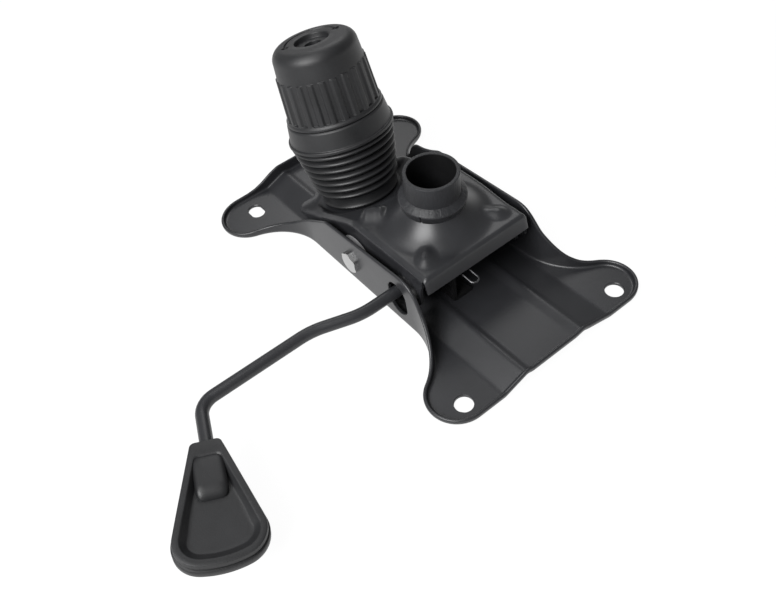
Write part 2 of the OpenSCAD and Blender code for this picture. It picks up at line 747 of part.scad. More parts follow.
// Outline of the paddle, drawn in by an inset: a flat end arc, two corner arcs and straight sides
paddle_neck_y = 6.6;
paddle_corner_r = 14;
paddle_end_r = 45;
paddle_corner_y = paddle_w / 2 - paddle_corner_r;
paddle_end_x = paddle_len - paddle_end_r;
paddle_corner_x = paddle_end_x + sqrt((paddle_end_r - paddle_corner_r) ^ 2 - paddle_corner_y ^ 2);
paddle_bulge = atan(paddle_corner_y / (paddle_corner_x - paddle_end_x));
paddle_aim = [paddle_corner_x, paddle_corner_y - paddle_neck_y];
paddle_spread = atan(paddle_aim[1] / paddle_aim[0]) + asin(paddle_corner_r / norm(paddle_aim));
function paddle_half(inset) =
    let (round = concat(
        arc([paddle_end_x, 0], paddle_end_r - inset, 0, paddle_bulge, 8),
        arc([paddle_corner_x, paddle_corner_y], paddle_corner_r - inset, paddle_bulge, 90 + paddle_spread, 20)
    ))
    let (end = round[len(round) - 1])
    concat(round, [[inset, end[1] - (end[0] - inset) * tan(paddle_spread)]]);
function paddle_outline(inset) =
    let (half = paddle_half(inset))
    concat(half, [for (k = [len(half) - 1 : -1 : 1]) [half[k][0], -half[k][1]]]);
module on_handle() {
    translate([paddle_start[0], paddle_start[1], lever_z]) rotate(-handle_deg) children();
}

// Moulded paddle: teardrop tray with a boss that holds the rod's end
module lever_paddle() {
    floor_t = 3;
    boss_len = 42;
    color([0.10, 0.10, 0.105]) on_handle() difference() {
        union() {
            difference() {
                translate([0, 0, -paddle_t / 2]) linear_extrude(paddle_t) polygon(paddle_outline(0));
                translate([0, 0, -paddle_t / 2 + floor_t])
                    linear_extrude(paddle_t) polygon(paddle_outline(paddle_wall));
            }
            translate([1, 0, 0]) rotate([0, 90, 0]) cylinder(r = boss_r, h = boss_len - 1);
            translate([1, -boss_r, -paddle_t / 2 + 0.5]) cube([boss_len - 1, 2 * boss_r, paddle_t / 2 - 0.5]);
        }
        translate([-10, 0, 0]) rotate([0, 90, 0])
            cylinder(r = rod_r + slip, h = 10 + handle_run - paddle_gap + run_gap, $fn = 48);
    }
}

// Pair of spring clips on the rod, either side of the lock plate
module lever_clips() {
    clip_t = 1.2;
    clip_r = rod_r + 2.2;
    gap = 0.9;
    color([0.35, 0.35, 0.36]) for (y = [lock_y - lock_t - gap - clip_t, lock_y + gap]) difference() {
        cross_rod(clip_r, lever_x, lever_z, y, y + clip_t);
        cross_rod(rod_r + slip, lever_x, lever_z, y - 1, y + clip_t + 1);
    }
}

seat_plate();
pivot_bolt();
pivot_nut();
lock_catch();
housing_cover();
inner_bracket();
gas_lift_socket();
weld_ring();
pivot_sleeve();
pivot_spacers();
lever_bush();
lever_spring();
spring_seat();
bellows();
tension_spring();
tension_bolt();
spring_cap();
thrust_washer();
knob();
knob_nut();
lock_plate();
lever_rod();
lever_paddle();
lever_clips();
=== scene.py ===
"""Looks of an office chair tilt mechanism, lying with its seat face down, built round its CAD frame.

Lengths inside the surface functions are in millimetres in the CAD frame: +X from the tension knob to the
plain end, +Y from the lever's side to the far side, +Z away from the seat.
"""

import json
import math

import bmesh
import bpy
import numpy as np
from bpy.props import FloatProperty, FloatVectorProperty, IntProperty, PointerProperty
from mathutils import Matrix, Vector


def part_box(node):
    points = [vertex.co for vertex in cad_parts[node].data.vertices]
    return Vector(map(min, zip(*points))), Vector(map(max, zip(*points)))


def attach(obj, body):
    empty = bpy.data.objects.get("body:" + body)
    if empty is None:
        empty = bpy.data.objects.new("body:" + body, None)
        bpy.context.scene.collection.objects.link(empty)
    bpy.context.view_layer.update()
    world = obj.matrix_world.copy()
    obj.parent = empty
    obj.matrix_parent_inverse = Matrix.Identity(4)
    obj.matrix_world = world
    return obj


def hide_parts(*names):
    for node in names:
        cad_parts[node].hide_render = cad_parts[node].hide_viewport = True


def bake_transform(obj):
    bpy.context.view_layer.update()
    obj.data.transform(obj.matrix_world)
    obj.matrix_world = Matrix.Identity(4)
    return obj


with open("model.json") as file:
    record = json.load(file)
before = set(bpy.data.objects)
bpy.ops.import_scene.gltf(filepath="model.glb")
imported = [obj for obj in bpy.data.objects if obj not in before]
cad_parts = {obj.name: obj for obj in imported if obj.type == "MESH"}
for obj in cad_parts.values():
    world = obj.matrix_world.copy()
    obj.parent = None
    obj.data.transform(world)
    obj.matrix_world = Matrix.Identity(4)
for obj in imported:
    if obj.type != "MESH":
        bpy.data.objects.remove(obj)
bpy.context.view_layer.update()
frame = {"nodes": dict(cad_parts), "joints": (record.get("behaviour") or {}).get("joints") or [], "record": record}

bl_info = {
    "name": "Chair tilt mechanism",
    "version": (1, 0, 0),
    "blender": (4, 5, 0),
    "location": "View3D > Sidebar > Tilt",
    "description": "Builds the looks of an office chair tilt mechanism round its CAD frame",
    "category": "Object",
}

MM = 0.001
FULL_TURN = 2 * math.pi
UP = np.array([0.0, 0.0, 1.0])


def length(name, description, default_mm, low=0.1, high=400.0):
    """A length setting, kept in metres and given here in millimetres."""
    return FloatProperty(
        name=name,
        description=description,
        default=default_mm * MM,
        min=low * MM,
        max=high * MM,
        unit="LENGTH",
    )


def angle(name, description, default_deg):
    """An angle setting, kept in radians and given here in degrees."""
    return FloatProperty(
        name=name, description=description, default=math.radians(default_deg), subtype="ANGLE"
    )


def tint(name, description, default):
    """A linear colour setting."""
    return FloatVectorProperty(
        name=name, description=description, default=default, size=3, min=0.0, max=1.0, subtype="COLOR"
    )


def triple(name, description, default):
    """A direction, or a place in metres."""
    return FloatVectorProperty(name=name, description=description, default=default, size=3, subtype="XYZ")


def power(name, description, default):
    """A lamp's power in watts."""
    return FloatProperty(name=name, description=description, default=default, min=0.0, subtype="POWER")


class SeatPlateSizes(bpy.types.PropertyGroup):
    """Sizes of the pressed seat plate."""

    sheet: length("Sheet", "Thickness of the pressed sheet", 2.2)
    bend: length("Bend", "Inside radius of the turned-up rim's bend", 1.5)
    rim: length("Rim", "Height of the turned-up rim", 5.4)
    cheek: length("Cheek", "Height of the two cheeks", 41)
    waist: length("Waist", "Distance from the middle to a cheek's outside", 46.8)
    hole_span_x: length("Holes along", "Distance between seat holes along the plate", 228)
    hole_span_y: length("Holes across", "Distance between seat holes across the plate", 119)
    ridge: length("Ridge", "Rise of the stiffening ridges", 5.8)
    strip: length("Strip", "Rise of the middle strip", 4.7)


class HousingSizes(bpy.types.PropertyGroup):
    """Sizes of the pressed cover and the socket."""

    sheet: length("Sheet", "Thickness of the cover's sheet", 2)
    top: length("Top", "Height of the cover's flat top", 44)
    half_width: length("Half width", "Half width of the cover at its skirts", 41)
    rear: length("Plain end", "Place of the plain-end lip", 62)
    roll: length("Roll", "Radius of the rolled side edges", 4)
    rear_roll: length("Rear roll", "Radius of the rolled edge above the lip", 2.8)
    skirt: length("Skirt", "Depth of the skirts and the lip", 10)
    dome: length("Dome", "Rise of the dome under the socket", 13.4)
    socket_bore: length("Socket bore", "Bore of the gas lift socket", 28.4)
    socket_wall: length("Socket wall", "Wall of the socket tube", 2.4)
    weld_ring: length("Weld ring", "Radius of the welded ring", 20.6)


class KnobSizes(bpy.types.PropertyGroup):
    """Sizes of the tension knob, its collar and its boot."""

    lip: length("Lip", "Radius of the knob's lip", 32)
    height: length("Height", "Height of the knob", 46.5)
    flutes: IntProperty(name="Flutes", description="Number of grip flutes", default=24, min=8, max=40)
    ribs: IntProperty(name="Ribs", description="Number of boot ribs", default=7, min=3, max=10)
    rib_depth: length("Rib depth", "Depth of the grooves between boot ribs", 4.0)
    collar: length("Collar", "Radius of the collar's lip", 35.8)
    neck: length("Neck", "Radius of the boot's neck", 26)


class LeverSizes(bpy.types.PropertyGroup):
    """Sizes of the lever rod and its paddle."""

    rod: length("Rod", "Diameter of the rod", 7.5)
    height: length("Height", "Height of the rod above the seat face", 25)
    jog: length("Jog", "Sideways jog of the rod", 10.5)
    reach: length("Reach", "Distance from the middle to the outer bend", 173)
    handle: angle("Handle", "Angle between the handle and the plate's long axis", 20)
    roll: angle("Roll", "Roll of the paddle about the handle", 11)
    paddle_length: length("Paddle length", "Length of the paddle", 75.3)
    paddle_width: length("Paddle width", "Width of the paddle", 46.4)
    paddle_thickness: length("Paddle thickness", "Thickness of the paddle", 10)


class FinishColours(bpy.types.PropertyGroup):
    """Colours of the finishes."""

    paint: tint("Paint", "Satin black powder coat", (0.0185, 0.019, 0.0212))
    plastic: tint("Plastic", "Matt black moulding", (0.0105, 0.0108, 0.0119))
    rubber: tint("Rubber", "Boot rubber", (0.0125, 0.0128, 0.0138))
    zinc: tint("Zinc", "Bright zinc plating", (0.5, 0.5, 0.5))
    steel: tint("Steel", "Plain steel", (0.38, 0.38, 0.385))
    wire: tint("Wire", "Dark spring wire", (0.13, 0.13, 0.135))
    # Painted shade: near-black, darker than the paint, for the socket's bore and the lock catch in shade
    shade_black: tint("Blackened", "Blackened steel under the cover", (0.006, 0.006, 0.0065))
    spacer: tint("Spacer", "Grey moulded spacers", (0.20, 0.20, 0.205))


class StageSettings(bpy.types.PropertyGroup):
    """Floor, lamps and camera."""

    lens: FloatProperty(
        name="Lens", description="Focal length in millimetres on a 36 mm frame", default=34.64
    )
    camera_place: triple("Camera place", "Where the camera stands", (0.3022, -0.1939, 0.3443))
    camera_right: triple("Camera right", "The image's direction to the right", (0.6008, 0.7866, -0.1425))
    camera_back: triple("Camera back", "Direction from the scene to the camera", (0.5937, -0.3197, 0.7385))
    key_power: power("Key lamp", "Power of the key lamp", 16.0)
    back_power: power("Back lamp", "Power of the back lamp", 3.0)
    top_power: power("Top lamp", "Power of the top lamp", 4.5)
    sky: FloatProperty(name="Sky", description="Strength of the surrounding light", default=0.25, min=0)


def mm(value):
    """A setting's metres as millimetres."""
    return value / MM


def smooth(t):
    """Smooth step: 0 below 0, 1 above 1, with a level start and end."""
    t = np.clip(t, 0.0, 1.0)
    return t * t * (3 - 2 * t)


def soft_line(x, xs, zs, width):
    """A bent line through the points (xs, zs), averaged over a window so that its corners are rounded."""
    taps = np.linspace(-0.5, 0.5, 9) * width
    return np.mean([np.interp(np.asarray(x) + tap, xs, zs) for tap in taps], axis=0)


def arc(centre, radius, start_deg, stop_deg, count):
    """Points on a circle's arc, both ends included."""
    a = np.radians(np.linspace(start_deg, stop_deg, count))
    return np.stack([centre[0] + radius * np.cos(a), centre[1] + radius * np.sin(a)], axis=-1)


def unit(vector):
    """A vector of length one."""
    vector = np.asarray(vector, float)
    return vector / np.linalg.norm(vector)


def from_angle(turn, middle):
    """Distance in turn from a middle bearing, either way round."""
    return np.abs((turn - middle + np.pi) % FULL_TURN - np.pi)


KNOB_JOINT = next(joint for joint in frame["joints"] if joint["name"] == "knob_turn")
KNOB_AXIS = unit(KNOB_JOINT["axis"])
KNOB_SEAT = np.array(KNOB_JOINT["pos_m"]) / MM
SOCKET_MOUNT = next(mount for mount in frame["record"]["mounts"] if mount["name"] == "gas_lift")
SOCKET_AXIS = unit(SOCKET_MOUNT["axis"])
RIM_ABOVE_MOUNT = 7.4
SOCKET_RIM = np.array(SOCKET_MOUNT["pos_m"]) / MM + RIM_ABOVE_MOUNT * SOCKET_AXIS

# Lowest edge of the cover's skirts
SKIRT_LOW = 8.4
# Straight front edge of the cover, its rounded corners, and the tab under the boot
COVER_FRONT = -86.5
COVER_CORNER = 6.5
TAB_LENGTH = 5.5
TAB_HALF_WIDTH = 25.0
# Heights along the knob's axis above the spring's seat
COLLAR_LOW = 45.3
KNOB_LOW = 60.2
# Easing at the edges of punched holes
HOLE_EASE = 0.35
# Sideways shift of the paddle's middle line from the rod's
PADDLE_SHIFT = 0.6


def along_axis(radius, turn, height, origin, axis):
    """Points at a radius, a turn and a height about an axis that leans in the XZ plane."""
    side = np.array([0.0, 1.0, 0.0])
    out = np.cross(side, axis)
    radius, turn, height = np.broadcast_arrays(radius, turn, height)
    return (
        origin
        + (radius * np.cos(turn))[..., None] * out
        + (radius * np.sin(turn))[..., None] * side
        + height[..., None] * axis
    )


def patch(points, close_columns=False, flip=False, skip=None):
    """A grid of points as vertices and quads. Its normal is the row direction crossed with the column
    direction. skip marks quads that are left out."""
    rows, columns = points.shape[:2]
    index = np.arange(rows * columns).reshape(rows, columns)
    if close_columns:
        index = np.concatenate([index, index[:, :1]], axis=1)
    quads = np.stack([index[:-1, :-1], index[1:, :-1], index[1:, 1:], index[:-1, 1:]], axis=-1)
    if flip:
        quads = quads[..., ::-1]
    if skip is not None:
        quads = quads[~skip]
    return points.reshape(-1, 3), quads.reshape(-1, 4)


def block_edge(points, block):
    """Points round a block of grid cells, in the order that keeps the grid's normal."""
    r0, r1, c0, c1 = block
    return np.concatenate(
        [points[r0:r1, c0], points[r1, c0:c1], points[r1:r0:-1, c1], points[r0, c1:c0:-1]], axis=0
    )


def stadium(half_length, radius):
    """Distance from a slot's middle to its edge along a bearing. The slot runs along the first axis."""

    def reach(bearing):
        """Distance to the slot's straight side or, past that, to its round end."""
        c, s = np.abs(np.cos(bearing)), np.abs(np.sin(bearing))
        side = radius / np.maximum(s, 1e-9)
        end = half_length * c + np.sqrt(np.maximum(radius**2 - (half_length * s) ** 2, 0))
        return np.where(side * c <= half_length, side, end)

    return reach


def punched(points, holes, flip=False, rings=6):
    """A grid with holes. Each hole is (block, centre, first axis, second axis, reach): the block's cells are
    left out, and straight lines run from the block's edge to the hole's edge. Returns the patches and each
    hole's edge loop."""
    skip = np.zeros((points.shape[0] - 1, points.shape[1] - 1), bool)
    patches = []
    edges = []
    for block, centre, first, second, reach in holes:
        r0, r1, c0, c1 = block
        skip[r0:r1, c0:c1] = True
        loop = block_edge(points, block)
        offset = loop - centre
        bearing = np.arctan2(offset @ second, offset @ first)
        spoke = np.cos(bearing)[:, None] * first + np.sin(bearing)[:, None] * second
        lift = offset - (offset @ first)[:, None] * first - (offset @ second)[:, None] * second
        edge = centre + (reach(bearing) + HOLE_EASE)[:, None] * spoke + np.mean(lift, axis=0)
        share = np.linspace(0, 1, rings)[:, None, None]
        patches.append(patch((1 - share) * loop + share * edge, close_columns=True, flip=not flip))
        edges.append((edge, spoke))
    return [patch(points, flip=flip, skip=skip)] + patches, edges


def hole_wall(edge_a, edge_b, spoke):
    """The wall of a hole between two faces of a sheet, with both edges eased."""
    ease = 0.18 * (edge_b - edge_a)
    inwards = HOLE_EASE * spoke
    rows = np.stack([edge_a, edge_a + ease - inwards, edge_b - ease - inwards, edge_b])
    return patch(rows, close_columns=True)


def lathe(profile, origin, axis, sectors=128):
    """A profile of (radius, height) pairs, going round its solid from below, turned about an axis."""
    profile = np.asarray(profile, float)
    turn = np.linspace(0, FULL_TURN, sectors, endpoint=False)
    points = along_axis(profile[:, :1], turn[None, :], profile[:, 1:], origin, axis)
    return patch(points, close_columns=True, flip=True)


def rounded(profile, radius, count=5):
    """A bent line whose inner corners become arcs: each corner is cut back by the radius and bridged by a
    curve."""
    profile = [np.asarray(p, float) for p in profile]
    out = [profile[0]]
    for before, corner, after in zip(profile[:-2], profile[1:-1], profile[2:]):
        cut = min(radius, 0.45 * np.linalg.norm(before - corner), 0.45 * np.linalg.norm(after - corner))
        a = corner + cut * unit(before - corner)
        b = corner + cut * unit(after - corner)
        for t in np.linspace(0, 1, count):
            out.append((1 - t) ** 2 * a + 2 * t * (1 - t) * corner + t**2 * b)
    out.append(profile[-1])
    return np.array(out)


def sweep(path, radius, sides):
    """A round rod along a path: circles stand square to the path, turned so that they don't twist, with
    closed ends."""
    path = np.asarray(path, float)
    step = np.gradient(path, axis=0)
    step /= np.linalg.norm(step, axis=1)[:, None]
    first = np.cross(UP, step)
    first /= np.linalg.norm(first, axis=1)[:, None]
    second = np.cross(step, first)
    a = np.linspace(0, FULL_TURN, sides, endpoint=False)
    ring = np.cos(a)[None, :, None] * first[:, None] + np.sin(a)[None, :, None] * second[:, None]
    points = path[:, None] + radius * ring
    ends = [np.repeat(path[i][None, None], sides, axis=1) for i in (0, -1)]
    return patch(np.concatenate([ends[0], points, ends[1]], axis=0), close_columns=True, flip=True)


def bent_route(corners, bends, step=1.5):
    """A route of straight runs joined by arcs. Each inner corner has a bend radius."""
    corners = [np.asarray(c, float) for c in corners]
    points = [corners[0]]
    for i in range(1, len(corners) - 1):
        into = unit(corners[i] - corners[i - 1])
        out = unit(corners[i + 1] - corners[i])
        turn = math.acos(np.clip(into @ out, -1, 1))
        trim = bends[i] * math.tan(turn / 2)
        start = corners[i] - trim * into
        inward = unit(out - into * (into @ out))
        centre = start + bends[i] * inward
        run = np.linalg.norm(start - points[-1])
        count = max(2, int(run / (4 * step)))
        points += list(np.linspace(points[-1], start, count)[1:])
        for a in np.linspace(0, turn, max(4, int(bends[i] * turn / step)))[1:]:
            points.append(centre + bends[i] * (math.sin(a) * into - math.cos(a) * inward))
    points += list(np.linspace(points[-1], corners[-1], 12)[1:])
    return np.array(points)


FINISHES = {}


def add_piece(name, patches, finish, body, replaced=(), sharp_deg=38.0):
    """Joins patches into one mesh in metres, welds their seams, and hangs it on its body."""
    verts = []
    quads = []
    start = 0
    for points, faces in patches:
        verts.append(points * MM)
        quads.append(faces + start)
        start += len(points)
    mesh = bpy.data.meshes.new(name)
    mesh.from_pydata(np.concatenate(verts), [], np.concatenate(quads).tolist())
    build = bmesh.new()
    build.from_mesh(mesh)
    bmesh.ops.remove_doubles(build, verts=build.verts, dist=2e-6)
    bmesh.ops.dissolve_degenerate(build, edges=build.edges, dist=1e-7)
    build.to_mesh(mesh)
    build.free()
    mesh.shade_smooth()
    mesh.set_sharp_from_angle(angle=math.radians(sharp_deg))
    mesh.materials.append(FINISHES[finish])
    piece = bpy.data.objects.new(name, mesh)
    bpy.context.scene.collection.objects.link(piece)
    if body:
        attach(piece, body)
    if replaced:
        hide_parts(*replaced)
    return piece


def add_node(tree, kind, **values):
    """A shader node with the named sockets set. An underscore stands for a space in a socket's name."""
    node = tree.nodes.new("ShaderNode" + kind)
    for socket, value in values.items():
        node.inputs[socket.replace("_", " ")].default_value = value
    return node


def new_finish(
    name, colour, roughness, metallic=0.0, grain=0.0, grain_size=900.0, mottle=0.25, sheen=0.5, streak=1.0
):
    """A finish: the colour and the roughness wander with a coarse noise, and a fine noise gives the grain,
    drawn out along Z where streak is below one."""
    wander = 0.05
    finish = bpy.data.materials.new(name)
    finish.use_nodes = True
    tree = finish.node_tree
    join = tree.links.new
    shader = tree.nodes["Principled BSDF"]
    shader.inputs["Metallic"].default_value = metallic
    shader.inputs["Specular IOR Level"].default_value = sheen
    place = add_node(tree, "TexCoord")
    coarse = add_node(tree, "TexNoise", Scale=55.0, Detail=6.0)
    join(place.outputs["Object"], coarse.inputs["Vector"])
    ramp = add_node(tree, "ValToRGB")
    shades = zip(ramp.color_ramp.elements, (0.3, 0.7), (1 - mottle, 1 + mottle))
    for element, position, share in shades:
        element.position = position
        element.color = (*[min(1.0, c * share) for c in colour], 1.0)
    join(coarse.outputs["Fac"], ramp.inputs["Fac"])
    join(ramp.outputs["Color"], shader.inputs["Base Color"])
    low, high = max(0.02, roughness - wander), min(1.0, roughness + wander)
    rough = add_node(tree, "MapRange", To_Min=low, To_Max=high)
    join(coarse.outputs["Fac"], rough.inputs["Value"])
    join(rough.outputs["Result"], shader.inputs["Roughness"])
    fine = add_node(tree, "TexNoise", Scale=grain_size, Detail=3.0)
    drawn = add_node(tree, "Mapping", Scale=(1.0, 1.0, streak))
    bump = add_node(tree, "Bump", Strength=grain, Distance=0.0004)
    join(place.outputs["Object"], drawn.inputs["Vector"])
    join(drawn.outputs["Vector"], fine.inputs["Vector"])
    join(fine.outputs["Fac"], bump.inputs["Height"])
    join(bump.outputs["Normal"], shader.inputs["Normal"])
    return finish


# Each finish: its material's name, its colour's setting, its roughness and what differs from the usual
FINISH_TABLE = {
    "paint": ("satin_black_paint", "paint", 0.36, {"grain": 0.04, "mottle": 0.12}),
    "brushed": (
        "brushed_black_tube",
        "paint",
        0.42,
        {"grain": 0.6, "grain_size": 1400.0, "sheen": 0.3, "streak": 0.04},
    ),
    "bead": ("rough_black_bead", "paint", 0.45, {"grain": 0.8, "sheen": 0.35}),
    "plastic": ("matt_black_plastic", "plastic", 0.47, {"grain": 0.16, "grain_size": 1500.0}),
    "rubber": ("boot_rubber", "rubber", 0.42, {"grain": 0.04}),
    "zinc": ("bright_zinc", "zinc", 0.3, {"metallic": 1.0, "grain": 0.03, "mottle": 0.08}),
    "steel": ("plain_steel", "steel", 0.42, {"metallic": 1.0, "grain": 0.05, "mottle": 0.15}),
    "wire": ("dark_wire", "wire", 0.36, {"metallic": 1.0, "grain": 0.03, "mottle": 0.1}),
    # Painted shade: a near-black finish for the socket's bore and the lock catch, which lie in shade
    "shade_black": ("blackened_steel", "shade_black", 0.6, {"grain": 0.05, "sheen": 0.2}),
    "spacer": ("grey_spacer", "spacer", 0.5, {"grain": 0.05}),
}


class TILT_OT_finishes(bpy.types.Operator):
    """Makes the finishes that the pieces share"""

    bl_idname = "tilt.finishes"
    bl_label = "Make finishes"

    def execute(self, context):
        colours = context.scene.tilt_colours
        for key, (name, colour, roughness, rest) in FINISH_TABLE.items():
            FINISHES[key] = new_finish(name, getattr(colours, colour), roughness, **rest)
        return {"FINISHED"}


class PlateForm:
    """The seat plate's outline and heights."""

    def __init__(self, p):
        self.t = mm(p.sheet)
        self.bend = mm(p.bend)
        self.inner = self.t + self.bend
        self.rim = mm(p.rim)
        self.cheek = mm(p.cheek)
        self.waist = mm(p.waist)
        self.hole = np.array([mm(p.hole_span_x), mm(p.hole_span_y)]) / 2
        self.ridge = mm(p.ridge)
        self.strip = mm(p.strip)
        self.front_ear = (-self.hole[0] + 3.0, -self.hole[1] - 5.5)
        self.rear_ear = (self.hole[0] - 6.3, -self.hole[1] + 1.0)
        self.front_ear_r = 22.0
        self.rear_ear_r = 19.0
        self.front_neck_r = 40.0
        self.rear_neck_r = 42.0
        self.pocket_x = KNOB_SEAT[0] + 2.5
        self.pocket_r = 12.5
        self.pocket_wall = 4.0
        self.pocket_rise = 3.3

    def neck(self, ear, ear_r, neck_r, way):
        """Centre of a neck's arc, which touches the cheek's line and the ear's circle, and its bearing from
        the ear."""
        y = -self.waist - neck_r
        x = ear[0] + way * math.sqrt((ear_r + neck_r) ** 2 - (y - ear[1]) ** 2)
        return (x, y), math.degrees(math.atan2(y - ear[1], x - ear[0])) % 360

    def near_side(self, inset):
        """The near side from front to rear: ear arc, neck arc, straight waist, neck arc, ear arc, drawn in by
        an inset."""
        front_neck, fa = self.neck(self.front_ear, self.front_ear_r, self.front_neck_r, 1)
        rear_neck, ra = self.neck(self.rear_ear, self.rear_ear_r, self.rear_neck_r, -1)
        front_ear = arc(self.front_ear, self.front_ear_r - inset, 180, fa, 52)
        front = arc(front_neck, self.front_neck_r + inset, fa - 180, 90, 34)
        rear = arc(rear_neck, self.rear_neck_r + inset, 90, ra - 180, 28)
        rear_ear = arc(self.rear_ear, self.rear_ear_r - inset, ra, 360, 46)
        waist = np.linspace(front[-1], rear[0], 90)
        return np.concatenate([front_ear, front[1:], waist[1:-1], rear[:-1], rear_ear])

    def across(self, y):
        """Height across the plate: the ears, the slopes up to two ridges, and the strip between them. The
        near ridge falls steeply to the strip, and the far one rises gently from it."""
        s, r = self.strip, self.ridge
        crease = 1.8
        near = soft_line(-y, [-100, 19.5, 22.5, 24, 40, 100], [s, s, r, r, 0, 0], crease)
        far = soft_line(y, [-100, 14, 19.5, 21, 23.5, 42, 100], [s, s, r, r, 4.6, 0, 0], crease)
        return np.where(np.asarray(y) < 0, near, far)

    def underside(self, x, y):
        """Height of the sheet's lower face: the height across the plate, and the tension bolt's pocket."""
        reach = np.hypot(x - self.pocket_x, y)
        return self.across(y) + self.pocket_rise * (1 - smooth((reach - self.pocket_r) / self.pocket_wall))

    def rim_top(self, x, y):
        """Height of the rim: level above the floor, a hump at the knob end's middle, and the cheeks along the
        waist, whose knob ends differ between the near and the far side."""
        level = self.across(y) + self.rim
        rear_x = [48, 53, 57, 61, 65, 70, 75, 80, 86, 92, 140]
        rear_share = [1, 0.975, 0.91, 0.78, 0.6, 0.455, 0.3, 0.16, 0.045, 0, 0]
        near_x = [-140, -94, -85, -71, -54, -31] + rear_x
        near_share = [0, 0, 0.06, 0.19, 0.475, 0.84] + rear_share
        far_x = [-140, -94, -85, -71, -64, -58, -54, -45, -38, -28] + rear_x
        far_share = [0, 0, 0.06, 0.19, 0.36, 0.66, 0.76, 0.79, 0.85, 0.97] + rear_share
        near, far = soft_line(x, near_x, near_share, 5.0), soft_line(x, far_x, far_share, 4.0)
        cheek = self.rim + (self.cheek - self.rim) * np.where(y < 0, near, far)
        hump_y = [0, 27, 34, 43, 49, 55, 100]
        hump = soft_line(np.abs(y), hump_y, [14.6, 14.6, 12.4, 8.3, 6.4, 5.6, 4.8], 3.0)
        on_side = (np.abs(y) > self.waist - 8) & (x > -110) & (x < 100)
        on_ends = np.where(x < -100, np.maximum(level, hump), level)
        return np.where(on_side, np.maximum(cheek, level), on_ends)


